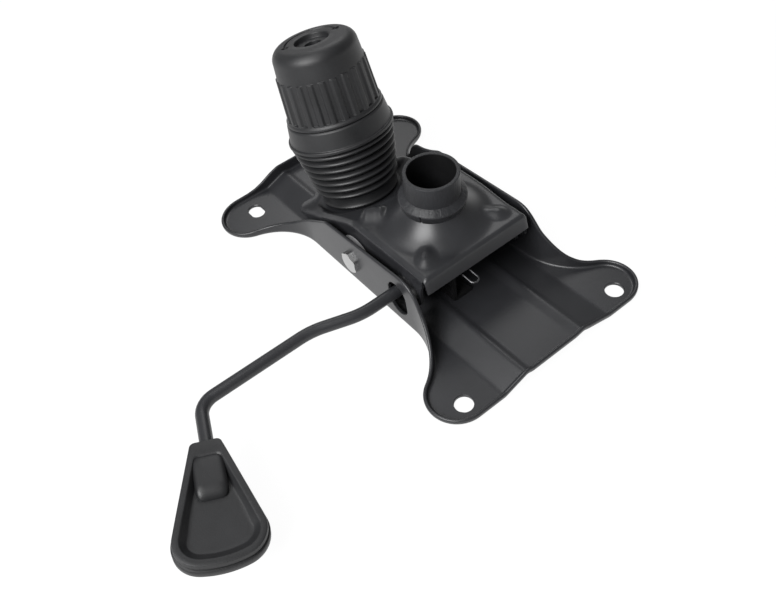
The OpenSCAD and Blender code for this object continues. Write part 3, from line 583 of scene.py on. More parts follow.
class TILT_OT_seat_plate(bpy.types.Operator):
    """Makes the pressed seat plate with its rim, cheeks, ridges and holes"""

    bl_idname = "tilt.seat_plate"
    bl_label = "Make seat plate"

    def execute(self, context):
        form = PlateForm(context.scene.tilt_plate)
        floor_side = form.near_side(form.inner)
        across = np.linspace(-1, 1, 113)
        x = np.repeat(floor_side[:, :1], len(across), axis=1)
        y = -floor_side[:, 1:] * across[None, :]
        low = form.underside(x, y)
        holes = self.floor_holes(form, x, y)
        top, top_edges = punched(np.stack([x, y, low + form.t], axis=-1), holes(form.t))
        bottom, bottom_edges = punched(np.stack([x, y, low], axis=-1), holes(0.0), flip=True)
        patches = top + bottom
        for (edge_a, spoke), (edge_b, _) in zip(top_edges, bottom_edges):
            patches.append(hole_wall(edge_a, edge_b, spoke))
        patches += self.rim(form, across)
        add_piece("seat_plate_pan", patches, "paint", "seat_plate", ("seat_plate",))
        return {"FINISHED"}

    def floor_holes(self, form, x, y):
        """Blocks of floor cells round the four seat holes and the tension bolt's hole, with each hole's
        outline. A hole is a slot's half length and radius, and room is half the block's width."""
        rear_hole, front_hole, bolt_hole = (0.1, 5.5), (2.2, 5.0), (0.1, 7.5)
        rear_room, usual_room = 7.8, 11.0
        first, second = np.array([1.0, 0, 0]), np.array([0, 1.0, 0])
        places = []
        for side in (-1, 1):
            places.append((form.hole[0], side * form.hole[1], rear_hole, rear_room))
            places.append((-form.hole[0], side * form.hole[1], front_hole, usual_room))
        places.append((form.pocket_x, 0.0, bolt_hole, usual_room))

        def at(height):
            """The holes at a height above the sheet's lower face."""
            found = []
            for px, py, hole, room in places:
                rows = np.nonzero(np.abs(x[:, 0] - px) < room)[0]
                row = int(np.argmin(np.abs(x[:, 0] - px)))
                columns = np.nonzero(np.abs(y[row] - py) < room - 1.0)[0]
                block = (rows[0], rows[-1], columns[0], columns[-1])
                floor = float(form.underside(np.array(px), np.array(py)))
                centre = np.array([px, py, floor + height])
                found.append((block, centre, first, second, stadium(*hole)))
            return found

        return at

    def rim(self, form, across):
        """The rim: from the floor's edge up a round bend and a straight wall, over a round top edge and down
        the outside."""
        t, bend, inner = form.t, form.bend, form.inner
        base = self.loop(form, 0.0, across)
        way = self.loop(form, 1.0, across) - base
        foot = base + inner * way
        low = form.underside(foot[:, 0], foot[:, 1])
        top = form.rim_top(base[:, 0], base[:, 1])
        wall = np.maximum(top - low - t - bend - 0.5 * t, 0.0)
        share = np.clip((top - 0.4 * t - low - t) / bend, 0.2, 1.0)
        bend_turn = np.where(wall > 0, np.pi / 2, np.arccos(np.clip(1 - share, 0, 1)))

        def row(radius, turn, rise):
            """Points all round at a radius of the bend, a turn of the bend and a rise above it."""
            inset = inner - radius * np.sin(turn)
            height = low + inner - radius * np.cos(turn) + rise
            return np.concatenate([base + inset[:, None] * way, height[:, None]], axis=1)

        bends = np.linspace(0, 1, 8)
        walls = np.linspace(0, 1, 15)[1:]
        rows = [row(bend, share_of_turn * bend_turn, 0.0) for share_of_turn in bends]
        inner_start = len(rows) - 1
        rows += [row(bend, bend_turn, rise * wall) for rise in walls]
        inner_stop = len(rows) - 1
        for over in np.linspace(0, np.pi, 9)[1:-1]:
            lean = 0.5 * t * math.sin(over)
            edge = row(bend + 0.5 * t - 0.5 * t * math.cos(over), bend_turn, wall)
            edge[:, :2] -= (lean * np.cos(bend_turn))[:, None] * way
            edge[:, 2] += lean * np.sin(bend_turn)
            rows.append(edge)
        outer_start = len(rows)
        rows += [row(bend + t, bend_turn, rise * wall) for rise in walls[::-1]]
        outer_stop = len(rows)
        rows += [row(bend + t, share_of_turn * bend_turn, 0.0) for share_of_turn in bends[::-1]]
        grid = np.stack(rows)
        grid = np.concatenate([grid, grid[:, :1]], axis=1)
        slot = self.lever_slot(grid, (inner_start, inner_stop), (outer_start, outer_stop))
        patches, edges = punched(grid, slot)
        patches.append(hole_wall(edges[0][0], edges[1][0][::-1][self.turned(edges)], edges[0][1]))
        return patches

    def turned(self, edges):
        """Order that pairs the outer wall's slot edge with the inner wall's, point by point."""
        a = edges[0][0]
        b = edges[1][0][::-1]
        return np.argmin(np.linalg.norm((a[:, None] - b[None])[..., [0, 2]], axis=-1), axis=1)

    def loop(self, form, inset, across):
        """The whole outline drawn in by an inset: near side, rear edge, far side, front edge."""
        near = form.near_side(inset)
        far = near[::-1] * [1, -1]
        span = across[1:-1, None]
        rear = np.concatenate([np.full_like(span, near[-1, 0]), -near[-1, 1] * span], axis=1)
        front = np.concatenate([np.full_like(span, near[0, 0]), near[0, 1] * span], axis=1)
        return np.concatenate([near, rear, far, front])

    def lever_slot(self, grid, inner_rows, outer_rows):
        """The upright slot for the lever in the near cheek, as holes in the inner and the outer wall."""
        middle_x, middle_z = 42.25, 20.8
        half_length, radius = 3.95, 8.25
        room_x, room_z = 12.0, 15.5
        first, second = UP, np.array([1.0, 0, 0])
        wall = grid[inner_rows[0]]
        columns = np.nonzero((np.abs(wall[:, 0] - middle_x) < room_x) & (wall[:, 1] < 0))[0]
        holes = []
        for start, stop in (inner_rows, outer_rows):
            height = grid[start:stop, columns[len(columns) // 2], 2]
            rows = start + np.nonzero(np.abs(height - middle_z) < room_z)[0]
            block = (rows[0], rows[-1], columns[0], columns[-1])
            centre = np.array([middle_x, grid[rows[0], columns[0], 1], middle_z])
            holes.append((block, centre, first, second, stadium(half_length, radius)))
        return holes


class TILT_OT_cover(bpy.types.Operator):
    """Makes the pressed cover with its slope, dome, rolled edges, skirts and plain-end lip"""

    bl_idname = "tilt.cover"
    bl_label = "Make cover"

    def execute(self, context):
        p = context.scene.tilt_housing
        x = self.stations(p)
        half = self.half_width(p, x)
        far_bulge, bulge_end, bulge_fade = 2.2, 15, 35
        far_extra = far_bulge * (1 - smooth((x - bulge_end) / bulge_fade))
        flat = np.linspace(-1, 1, 121)
        edge_y = half - mm(p.roll)
        edge_z = np.minimum(self.height(p, x, edge_y), self.height(p, x, -edge_y))
        least_skirt, least_roll, roll_deg = 0.5, 1.0, 80
        roll = np.clip(edge_z - SKIRT_LOW - least_skirt, least_roll, mm(p.roll))
        widened = far_extra[:, None] * np.clip(flat, 0, 1)[None, :] ** 2
        top_y = flat[None, :] * (half - roll)[:, None] + widened
        top_x = np.repeat(x[:, None], len(flat), 1)
        top = np.stack([top_x, top_y, self.height(p, x[:, None], top_y)], axis=-1)
        turn = np.radians(np.linspace(0, roll_deg, 8))[1:]
        sides = []
        for way, column in ((-1, 0), (1, -1)):
            over = [np.array([0, way * math.sin(a), math.cos(a) - 1]) for a in turn]
            rolled = [top[:, column] + roll[:, None] * step for step in over]
            sides.append(np.stack(rolled + self.skirt(p, rolled[-1], way), axis=1))
        grid = np.concatenate([sides[0][:, ::-1], top, sides[1]], axis=1)
        patches = [patch(grid, skip=self.socket_hole(p, grid)), self.lip(p, grid[-1])]
        replaced = ("housing_cover", "spring_seat")
        piece = add_piece("housing_cover_shell", patches, "paint", "housing", replaced)
        wall = piece.modifiers.new("sheet", "SOLIDIFY")
        wall.thickness = p.sheet
        wall.offset = -1.0
        ease = piece.modifiers.new("eased_edges", "BEVEL")
        ease.width = 0.0004
        ease.segments = 2
        ease.limit_method = "ANGLE"
        ease.angle_limit = math.radians(50)
        ease.harden_normals = True
        return {"FINISHED"}

    def stations(self, p):
        """Places along the cover: close together over the tab and the corners, even over the rest."""
        corner = COVER_FRONT + COVER_CORNER
        rear = mm(p.rear) - mm(p.rear_roll)
        return np.concatenate([
            np.linspace(COVER_FRONT - TAB_LENGTH + 0.1, COVER_FRONT - 0.1, 20),
            np.linspace(COVER_FRONT + 0.1, corner, 14),
            np.linspace(corner + 0.5, rear, 160),
        ])

    def half_width(self, p, x):
        """Half width of the cover: parallel sides, rounded corners at the knob end, and a round tab under the
        boot."""
        flare_room = 1.6
        full = mm(p.half_width) - flare_room
        past = np.clip(COVER_FRONT + COVER_CORNER - x, 0, COVER_CORNER)
        body = full - COVER_CORNER + np.sqrt(COVER_CORNER**2 - past**2)
        out = np.clip(COVER_FRONT - x, 0, TAB_LENGTH) / TAB_LENGTH
        tab = TAB_HALF_WIDTH * np.sqrt(np.clip(1 - out**2, 0, 1))
        return np.where(x < COVER_FRONT, np.maximum(tab, 3.0), body)

    def skirt(self, p, start, way):
        """Rows of the side skirt below the rolled edge. It hangs a little outwards, and at the plain end it
        reaches further down in a round lobe that bulges out, with a small boss before it."""
        lobe_x, lobe_z, lobe_r, lobe_bulge = 53.5, 32.0, 9.0, 1.5
        boss_x, boss_z, boss_r, boss_bulge = 43.5, 36.0, 3.0, 1.3
        flare = 0.1
        x, top = start[:, 0], start[:, 2]
        low = np.maximum(top - mm(p.skirt), SKIRT_LOW)
        from_lobe = np.clip((x - lobe_x) / lobe_r, -1, 1)
        lobe = lobe_z - lobe_r * np.sqrt(1 - from_lobe**2)
        low = np.where(np.abs(from_lobe) < 1, np.minimum(low, lobe), low)
        depth = np.maximum(top - low, 0.3)
        rows = []
        for share in np.linspace(0, 1, 15)[1:]:
            z = top - share * depth
            bulge = lobe_bulge * (1 - from_lobe**2) * smooth((39 - z) / 4)
            bulge = bulge + boss_bulge * np.exp(-((x - boss_x) ** 2 + (z - boss_z) ** 2) / boss_r**2)
            rows.append(np.stack([x, start[:, 1] + way * (flare * share * depth + bulge), z], axis=-1))
        return rows

    def height(self, p, x, y):
        """Height of the top skin: the slope and flat top with what is pressed up out of them, and the bowl
        pressed down into them."""
        z = self.slope(p, x, y) + self.dome(p, x, y) + self.rear_bumps(x, y) + self.pads(x, y)
        return self.bowl(x, y, z)

    def slope(self, p, x, y):
        """A flat top that turns along an oblique fold into a straight slope down to the knob end. The slope's
        far edge is arched."""
        top, low = mm(p.top), SKIRT_LOW + 1.8
        foot_x, fold_x, fold_turn, arch = -81.5, -8.0, 11.0, 8.0
        fold = fold_x - fold_turn * np.clip((y + 40) / 83, 0, 1)
        share = (x - foot_x) / (fold - foot_x)
        z = low + (top - low) * soft_line(share, [-1, 0, 1, 4], [0, 0, 1, 1], 0.07)
        return z + arch * np.clip(share, 0, 1) * np.clip(1 - share, 0, 1) * smooth((y - 14) / 22)

    def dome(self, p, x, y):
        """The dome under the socket: a rise that falls off with the distance from the socket's axis."""
        crown_r, fall, steepness = 18.0, 19.0, 1.9
        centre = SOCKET_RIM - SOCKET_AXIS * (SOCKET_RIM[2] - 50) / SOCKET_AXIS[2]
        reach = np.hypot(x - centre[0], y)
        return mm(p.dome) * np.clip(1 - (reach - crown_r) / fall, 0, 1) ** steepness

    def rear_bumps(self, x, y):
        """A long bump before each rear corner, pointing at the corner."""
        middle_x, middle_y, rise = 48.5, 27, 2.8
        half_length, half_width, crown = 10, 8, 0.12
        aim_x, aim_y = 0.77, 0.64
        from_x, from_y = x - middle_x, np.abs(y) - middle_y
        along = from_x * aim_x + from_y * aim_y
        aside = from_y * aim_x - from_x * aim_y
        reach = np.hypot(along / half_length, aside / half_width)
        return rise * (1 - smooth((reach - crown) / (1 - crown)))

    def pads(self, x, y):
        """A tilted pad on each side between knob and socket: steep on the knob's side, falling slowly away
        from it, with soft ends."""
        pad_x, pad_y, rise = -5.75, 22.85, 3.8
        down_x, down_y = 0.747, 0.664
        climb, fall = 6, 14
        half_length, soft_end, shift = 4, 5, 1
        from_x, from_y = x - pad_x, np.abs(y) - pad_y
        down = down_x * from_x + down_y * from_y
        level = down_y * from_x - down_x * from_y
        along = smooth((down + climb) / climb) * (1 - smooth(down / fall))
        return rise * (along * (1 - smooth((np.abs(level + shift) - half_length) / soft_end)))

    def bowl(self, x, y, z):
        """The skin with the spring seat's bowl: the lower of skin and bowl, joined softly, and behind the
        knob's axis a flat seat that runs out into the skin."""
        seat_r, seat_drop, run_out = 28.5, 2.0, 4.0
        flare, blend = 0.82, 3.0
        change_x, change_length = KNOB_SEAT[0] + 6, 12
        seat = KNOB_SEAT[2] + (x - KNOB_SEAT[0]) * -KNOB_AXIS[0] / KNOB_AXIS[2] - seat_drop
        away = np.sqrt(((x - KNOB_SEAT[0]) * KNOB_AXIS[2]) ** 2 + y**2)
        bowl = seat + flare * np.maximum(away - seat_r, 0)
        share = np.clip(0.5 + 0.5 * (bowl - z) / blend, 0, 1)
        lower = z * share + bowl * (1 - share) - blend * share * (1 - share)
        behind = z + (seat - z) * (1 - smooth((away - seat_r) / run_out))
        return lower + (behind - lower) * smooth((change_x - x) / change_length)

    def socket_hole(self, p, grid):
        """Cells of the skin that the socket tube goes through."""
        middle = 0.25 * (grid[:-1, :-1] + grid[1:, :-1] + grid[1:, 1:] + grid[:-1, 1:])
        return from_socket_axis(middle) < mm(p.socket_bore) / 2 + 1.3

    def lip(self, p, edge):
        """The plain-end lip: the top skin's edge rolled over and turned down, a little flared, up to both
        rolled corners."""
        roll, roll_deg, flare = mm(p.rear_roll), 78, 0.22
        side_gap, corner_drop = 1.3, 2.6
        inside = np.abs(edge[:, 1]) < mm(p.half_width) - side_gap
        edge = edge[inside & (edge[:, 2] > edge[:, 2].max() - corner_drop)]
        rows = [edge]
        for a in np.radians(np.linspace(0, roll_deg, 9))[1:]:
            rows.append(edge + np.array([roll * math.sin(a), 0, -roll * (1 - math.cos(a))]))
        rolled = rows[-1]
        drop = rolled[:, 2] - (mm(p.top) - mm(p.skirt))
        for share in np.linspace(0, 1, 8)[1:]:
            rows.append(rolled + (share * drop)[:, None] * np.array([flare, 0, -1]))
        return patch(np.stack(rows))


def from_socket_axis(points):
    """Distance of points from the socket's axis."""
    offset = points - SOCKET_RIM
    return np.linalg.norm(offset - (offset @ SOCKET_AXIS)[..., None] * SOCKET_AXIS, axis=-1)


class TILT_OT_socket(bpy.types.Operator):
    """Makes the gas lift socket and its weld ring"""

    bl_idname = "tilt.socket"
    bl_label = "Make socket"

    def execute(self, context):
        p = context.scene.tilt_housing
        bore = mm(p.socket_bore) / 2
        tube = bore + mm(p.socket_wall)
        self.tube(bore, tube)
        self.weld_ring(tube, mm(p.weld_ring))
        return {"FINISHED"}

    def tube(self, bore, tube):
        """The tube: a parallel land at its mouth and a slow taper below, with all edges rounded."""
        foot, land, taper = -44.0, -14.0, 0.7
        narrow = (bore - taper, foot)
        corners = [narrow, (tube, foot), (tube, 0), (bore, 0), (bore, land), narrow]
        skin = lathe(rounded(corners, 0.45), SOCKET_RIM, SOCKET_AXIS)
        piece = add_piece("socket_tube", [skin], "brushed", "housing", ("gas_lift_socket",))
        self.darken_bore(piece, bore + 0.25)

    def darken_bore(self, piece, reach):
        """Gives the faces inside the tube a near-black painted shade, darker than the tube's paint."""
        mesh = piece.data
        mesh.materials.append(FINISHES["shade_black"])
        middle = np.empty(3 * len(mesh.polygons))
        mesh.polygons.foreach_get("center", middle)
        inside = from_socket_axis(middle.reshape(-1, 3) / MM) < reach
        mesh.polygons.foreach_set("material_index", inside.astype(np.int32))

    def weld_ring(self, tube, ring):
        """The weld ring: undercut below its brim, a cone above it that is a little uneven, and one notch in
        the brim."""
        low, brim, top = -23.4, -18.0, -14.2
        notch_turn, notch_width, notch_depth = -1.05, 0.016, 0.7
        profile = rounded(
            [
                (tube - 0.3, low), (ring - 1.4, low), (ring, brim), (ring - 0.3, brim + 0.7),
                (tube + 0.9, top - 0.8), (tube - 0.3, top),
            ],
            0.45,
        )
        radius, height = profile[:, :1], profile[:, 1:]
        turn = np.linspace(0, FULL_TURN, 480, endpoint=False)
        outside = radius > tube + 0.2
        uneven = 0.02 * np.sin(17 * turn) + 0.02 * np.sin(29 * turn + 1.3)
        uneven = uneven * (outside & (height > brim + 0.2))
        notch = np.exp(-((from_angle(turn, notch_turn) / notch_width) ** 2))
        notch = notch * (outside & (height < brim + 0.4))
        points = along_axis(
            radius + uneven - notch_depth * notch, turn[None, :], height + uneven, SOCKET_RIM, SOCKET_AXIS
        )
        skin = patch(points, close_columns=True, flip=True)
        add_piece("socket_weld_ring", [skin], "bead", "housing", ("weld_ring",))


class TILT_OT_knob(bpy.types.Operator):
    """Makes the fluted knob, its collar, the ribbed boot and the coil spring inside it"""

    bl_idname = "tilt.knob"
    bl_label = "Make knob"

    def execute(self, context):
        p = context.scene.tilt_knob
        self.knob(p)
        self.collar(p)
        self.boot(p)
        self.coil()
        return {"FINISHED"}

    def knob(self, p):
        """The knob: a turned profile whose grip has ribs. A rib's crest runs a little inwards up the knob and
        ends in a ledge above the plain band, and a channel's floor ends in a ledge above the lip. The top has
        a stepped hole and an incised arc with arrowheads at its ends."""
        lip, low = mm(p.lip), KNOB_LOW
        high = low + mm(p.height)
        foot = [
            (lip - 4, low + 2), (lip - 3.2, low), (lip - 0.3, low), (lip, low + 0.3), (lip, low + 1.5),
            (lip - 0.4, low + 2.1),
        ]
        grip_low, grip_high, ledge = low + 3.2, low + 29.3, 0.5
        grip = np.concatenate([
            np.linspace(grip_low - ledge, grip_low + ledge, 9),
            np.linspace(grip_low + ledge, grip_high - ledge, 16)[1:],
            np.linspace(grip_high - ledge, grip_high + ledge, 9)[1:],
        ])
        band_r, top_r, round_r = lip - 3.7, lip - 4.6, 7.5
        crest = np.interp(grip, [grip_low, grip_high], [lip - 1.0, lip - 2.7])
        floor = np.interp(grip, [grip_low, grip_high], [lip - 2.4, band_r])
        shoulder = arc((top_r - round_r, high - round_r), round_r, 0, 90, 14)
        band = np.linspace((band_r, grip_high + ledge), shoulder[0], 6)[1:-1]
        groove = [(17.8, high + 0.05), (17.45, high - 0.5), (16.55, high - 0.5), (16.2, high + 0.1)]
        recess = [(11.8, high + 0.05), (11.2, high - 0.3), (10.9, high - 3.2)]
        hole = rounded(recess + [(5.3, high - 3.0), (5.25, high - 22)], 0.4, 4)
        profile = np.concatenate([foot, np.stack([crest, grip], 1), band, shoulder, groove, hole])
        turn = np.linspace(0, FULL_TURN, p.flutes * 18, endpoint=False)
        rib = smooth((np.cos(p.flutes * turn) + 0.5) / 1.1)
        above = smooth((grip - grip_low + 0.2) / 0.4)[:, None]
        below = smooth((grip - grip_high + 0.2) / 0.4)[:, None]
        ribbed = floor[:, None] + (crest - floor)[:, None] * rib[None, :]
        grip_r = crest[:, None] + (ribbed - crest[:, None]) * above
        grip_r = grip_r + (floor[:, None] - grip_r) * below
        radius = np.repeat(profile[:, :1], len(turn), axis=1)
        height = np.repeat(profile[:, 1:], len(turn), axis=1)
        radius[len(foot):len(foot) + len(grip)] = grip_r
        self.incise(radius, height, turn, len(profile) - len(hole) - len(groove), high)
        points = along_axis(radius, turn[None, :], height, KNOB_SEAT, KNOB_AXIS)
        skin = patch(points, close_columns=True, flip=True)
        add_piece("tension_knob", [skin], "plastic", "knob", ("knob",), sharp_deg=50)

    def incise(self, radius, height, turn, row, high):
        """Shapes four rows of the top into an arc-shaped groove that widens into an arrowhead at both
        ends."""
        middle, ends, head_length, head_half_width = 2.9, 1.66, 0.26, 2.1
        depth, rest = 0.8, 0.07
        away = from_angle(turn, middle)
        head = np.clip((ends - away) / head_length, 0, 1) * (away > ends - head_length)
        inside = smooth((ends - away) / 0.03)
        spread = head_half_width * head
        radius[row:row + 2] += spread
        radius[row + 2:row + 4] -= spread
        height[row + 1:row + 3] = high - depth * inside + rest * (1 - inside)

    def collar(self, p):
        """The smooth collar: a shallow cone with a narrow lip round its lower edge."""
        r, top_r, low = mm(p.collar), mm(p.lip) + 0.6, COLLAR_LOW
        flange_low, flange_high, bore = 57.4, 59.9, 6
        inside = [(bore, flange_low), (29.4, flange_low), (r - 3.2, low + 0.9), (r - 2.6, low)]
        lip = [(r - 0.4, low), (r, low + 0.6), (r - 0.1, low + 2.0), (r - 0.6, low + 2.5)]
        cone = [(r - 1.3, low + 2.6), (r - 1.5, low + 3.2), (top_r, flange_high - 1.0)]
        flange = [(top_r - 0.9, flange_high), (bore, flange_high), (bore, flange_low)]
        skin = lathe(rounded(inside + lip + cone + flange, 0.4), KNOB_SEAT, KNOB_AXIS)
        add_piece("tension_collar", [skin], "plastic", "spring_cap", ("spring_cap",))

    def boot(self, p):
        """The boot in two lengths. Its wall is a neck and then ribs, thin round crests with deep grooves between
        them, that widen towards the collar."""
        neck, first_crest, last_crest = mm(p.neck), 29.1, mm(p.collar) - 0.5
        wall_t = 1.4
        foot, first, last = 7.2, 9.3, 44.9
        pitch = (last - first) / (p.ribs - 0.35)
        lead = 0.28 * pitch
        split = first + 3.5 * pitch
        heights = np.linspace(foot, last, p.ribs * 22)
        crest = np.interp(heights, [first, last], [first_crest, last_crest])
        wave = np.abs(np.sin(np.pi * (heights - first + lead) / pitch))
        groove = mm(p.rib_depth) * (1 - wave**0.9)
        ribs = np.stack([crest - groove, heights], axis=1)
        ribs[heights < first - lead, 0] = neck
        bead = [(neck - 2, 0.05), (neck + 0.6, 0.1), (neck + 0.9, 1.2), (neck, 2.6), (neck, foot - 0.3)]
        outer = np.concatenate([bead, ribs])
        still_low, still_high, overlap = 2.0, 44.5, 0.35
        lower, upper = outer[:, 1] <= split, outer[:, 1] >= split - overlap
        for name, keep, bodies, ends in (
            ("tension_boot_lower", lower, ("housing", "tension_bolt"), (still_low, split)),
            ("tension_boot_upper", upper, ("tension_bolt", "spring_cap"), (split, still_high)),
        ):
            wall = outer[keep]
            inside = wall[::-1] - [wall_t, 0]
            skin = lathe(np.concatenate([wall, inside, wall[:1]]), KNOB_SEAT, KNOB_AXIS)
            piece = add_piece(name, [skin], "rubber", None, ("bellows",))
            self.stretch(piece, bodies, ends)

    def coil(self):
        """The coil spring in two lengths: a round wire along a helix about the bolt."""
        low, split, high = 2.8, 28.0, 54.2
        turns, coil_r, wire_r = 6.0, 17.0, 2.5
        for name, span, bodies in (
            ("tension_spring_lower", (low, split), ("housing", "tension_bolt")),
            ("tension_spring_upper", (split, high), ("tension_bolt", "spring_cap")),
        ):
            height = np.linspace(*span, 110)
            turn = FULL_TURN * turns * (height - low) / (high - low)
            path = along_axis(np.full_like(turn, coil_r), turn, height, KNOB_SEAT, KNOB_AXIS)
            wire = sweep(path, wire_r, 12)
            piece = add_piece(name, [wire], "steel", None, ("tension_spring",))
            self.stretch(piece, bodies, span)

    def stretch(self, piece, bodies, span):
        """Bakes the piece's placement into its mesh; the bodies and the span are not used."""
        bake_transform(piece)


class TILT_OT_lever(bpy.types.Operator):
    """Makes the bent lever rod and its paddle"""

    bl_idname = "tilt.lever"
    bl_label = "Make lever"

    def execute(self, context):
        p = context.scene.tilt_lever
        handle = np.array([math.cos(p.handle), -math.sin(p.handle), 0.0])
        neck_from_bend = 22
        bend = self.rod(p, handle)
        self.paddle(p, bend + neck_from_bend * handle, handle)
        return {"FINISHED"}

    def rod(self, p, handle):
        """The rod: straight runs joined by bends, from the round pad at the socket to the handle. Returns
        the place of its last bend."""
        x, z = 40.5, mm(p.height)
        inner_x, pad_r, pad_half = 26.0, 6.5, 2.0
        inner_y, jog_start, jog_end, handle_length = -18, -71, -100, 46
        bend = np.array([x - mm(p.jog), -mm(p.reach), z])
        inner = [(inner_x, 2, z), (x, inner_y, z), (x, jog_start, z), (x - mm(p.jog), jog_end, z)]
        corners = inner + [bend, bend + handle_length * handle]
        rod = sweep(bent_route(corners, [0, 9, 45, 45, 12, 0]), mm(p.rod) / 2, 40)
        eased = 0.3
        section = [
            (0, -pad_half), (pad_r - eased, -pad_half), (pad_r, -pad_half + eased), (pad_r, pad_half - eased),
            (pad_r - eased, pad_half), (0, pad_half),
        ]
        pad = lathe(section, np.array([inner_x, 1, z]), UP, 48)
        add_piece("lever_bar", [rod, pad], "paint", "lever", ("lever_rod",))
        return bend

    def paddle(self, p, start, handle):
        """The paddle: rings of one teardrop outline carried through a section of foot, step, lip, sloped wall
        and tray, closed along the teardrop's spine, with a pillow-shaped boss that holds the rod."""
        flat_side = np.array([-handle[1], handle[0], 0.0])
        side = math.cos(p.roll) * flat_side - math.sin(p.roll) * UP
        up = np.cross(handle, side)
        half = mm(p.paddle_thickness) / 2
        tray = 0.9
        foot = [(2.0, 0, 0, -half), (0.6, 0, 0, -half + 0.5), (0, 0, 0, -half + 1.8), (0, 0, 0, 0.2)]
        step = [(0.3, 0, 0, 0.7), (0.6, 0, 0.9, 1.0), (0.7, 0, 1.0, 1.4), (0.7, 0, 0.3, 1.8)]
        lip = [
            (0.8, 0, 0.2, half - 0.8), (1.1, 0.2, 0.1, half - 0.2), (1.7, 0.7, 0, half),
            (3.9, 5.2, 0.2, half), (4.2, 5.6, 0.3, half - 0.12), (4.5, 5.9, 0.5, half - 0.5),
        ]
        wall = [(6.3, 7.0, 2.2, tray + 0.35), (6.8, 7.2, 2.5, tray)]
        rows = [self.ring(p, *sizes) for sizes in foot + step + lip + wall]
        spine_start, spine_end = 22, 50
        spine = np.clip(rows[-1][:, :1], spine_start, spine_end)
        middle = np.concatenate([spine, 0 * spine - PADDLE_SHIFT, 0 * spine], axis=1)
        high, low = middle + [0, 0, tray], middle + [0, 0, -half]
        floor = [rows[-1] + share * (high - rows[-1]) for share in np.linspace(0, 1, 9)[1:]]
        under = [rows[0] + share * (low - rows[0]) for share in np.linspace(1, 0, 7)[:-1]]
        patches = []
        for points in (np.stack(under + rows + floor), self.boss(half, tray)):
            world = start + points[..., :1] * handle + points[..., 1:2] * side + points[..., 2:] * up
            patches.append(patch(world, close_columns=True, flip=True))
        add_piece("lever_paddle_grip", patches, "plastic", "lever", ("lever_paddle",))

    def ring(self, p, inset, back, nose, z):
        """One ring of the paddle's section at a height: the outline drawn in by an inset all round, by a
        further distance at the neck, and by another that grows from the middle to the wide end."""
        wide_start, wide_length = 40, 16
        end_start, end_length = 52, 18
        outline = self.teardrop(p, inset, back)
        wide = smooth((outline[:, :1] - wide_start) / wide_length)
        along = nose * smooth((outline[:, :1] - end_start) / end_length)
        across = 0.5 * nose * wide * outline[:, 1:] / (mm(p.paddle_width) / 2)
        drawn = outline - wide * np.concatenate([along, across], axis=1) - [0, PADDLE_SHIFT]
        return np.concatenate([drawn, np.full((len(outline), 1), z)], axis=1)

    def teardrop(self, p, inset, back):
        """The paddle's outline: a flat end arc, two corner arcs, two straight sides and a blunt neck with
        round corners, drawn in by an inset all round and by a further distance at the neck."""
        corner_r, end_r, neck, neck_x = 15.0, 48.0, 7.8, 4.6
        corner_y = mm(p.paddle_width) / 2 - corner_r
        end_x = mm(p.paddle_length) - end_r
        corner_x = end_x + math.sqrt((end_r - corner_r) ** 2 - corner_y**2)
        bulge = math.degrees(math.atan2(corner_y, corner_x - end_x))
        aim = (corner_x, corner_y - neck)
        spread = math.degrees(math.atan2(aim[1], aim[0]) + math.asin(corner_r / math.hypot(*aim)))
        tip = arc((end_x, 0), end_r - inset, 0, bulge, 10)
        turn = arc((corner_x, corner_y), max(corner_r - inset, 2.0), bulge, 90 + spread, 26)[1:]
        left = neck_x + inset * 0.9 + back
        slope = math.tan(math.radians(spread))
        width = turn[-1, 1] - (turn[-1, 0] - left) * slope
        ease = min(3.0, 0.6 * width)
        blunt = arc((left + ease, width - ease), ease, 90 + spread, 180, 9)
        sides = np.linspace(turn[-1], blunt[0], 24)[1:-1]
        front = np.linspace(blunt[-1], blunt[-1] * [1, 0], 6)[1:]
        upper = np.concatenate([tip, turn, sides, blunt, front])
        return np.concatenate([upper, upper[-2:0:-1] * [1, -1]])

    def boss(self, half, tray):
        """The boss: a pillow whose plan and height are rounded boxes, from the neck's wall to a steep round
        end."""
        middle_x, middle_y, half_length, half_width = 26.0, -0.9, 12.7, 8.2
        nose_x, nose_r = 31.8, 7.0
        squareness, crown = 0.4, 0.6
        turn = np.linspace(0, FULL_TURN, 72, endpoint=False)
        lift = np.linspace(0, np.pi / 2, 16)

        def bulge(value):
            """A value's size raised to a power below one, its sign kept, which makes a round plan squarer."""
            return np.sign(value) * np.abs(value) ** squareness

        plan = bulge(np.cos(lift))[:, None]
        x = middle_x + half_length * plan * bulge(np.cos(turn))[None, :]
        y = half_width * plan * bulge(np.sin(turn))[None, :] + middle_y
        nose = np.sqrt(1 - np.clip((x - nose_x) / nose_r, 0, 0.995) ** 2)
        z = tray - 0.4 + (half + 1.0 - tray) * (np.abs(np.sin(lift)) ** crown)[:, None] * nose
        return np.stack([x, y, z], axis=-1)


# Plain pieces that keep their CAD solids: the finish and the slot of each
PLAIN_PIECES = {
    "pivot_nut": ("zinc", "zinc"),
    # The lock catch is bare steel; its near-black finish is painted shade
    "lock_catch": ("shade_black", "bare_steel"),
    "inner_bracket": ("paint", "black_paint"),
    "pivot_sleeve": ("steel", "bare_steel"),
    "pivot_spacers": ("spacer", "spacer_plastic"),
    "lever_bush": ("plastic", "black_plastic"),
    "tension_bolt": ("zinc", "zinc"),
    "thrust_washer": ("zinc", "zinc"),
    "knob_nut": ("zinc", "zinc"),
    "lock_plate": ("steel", "bare_steel"),
    "lever_clips": ("steel", "spring_steel"),
}


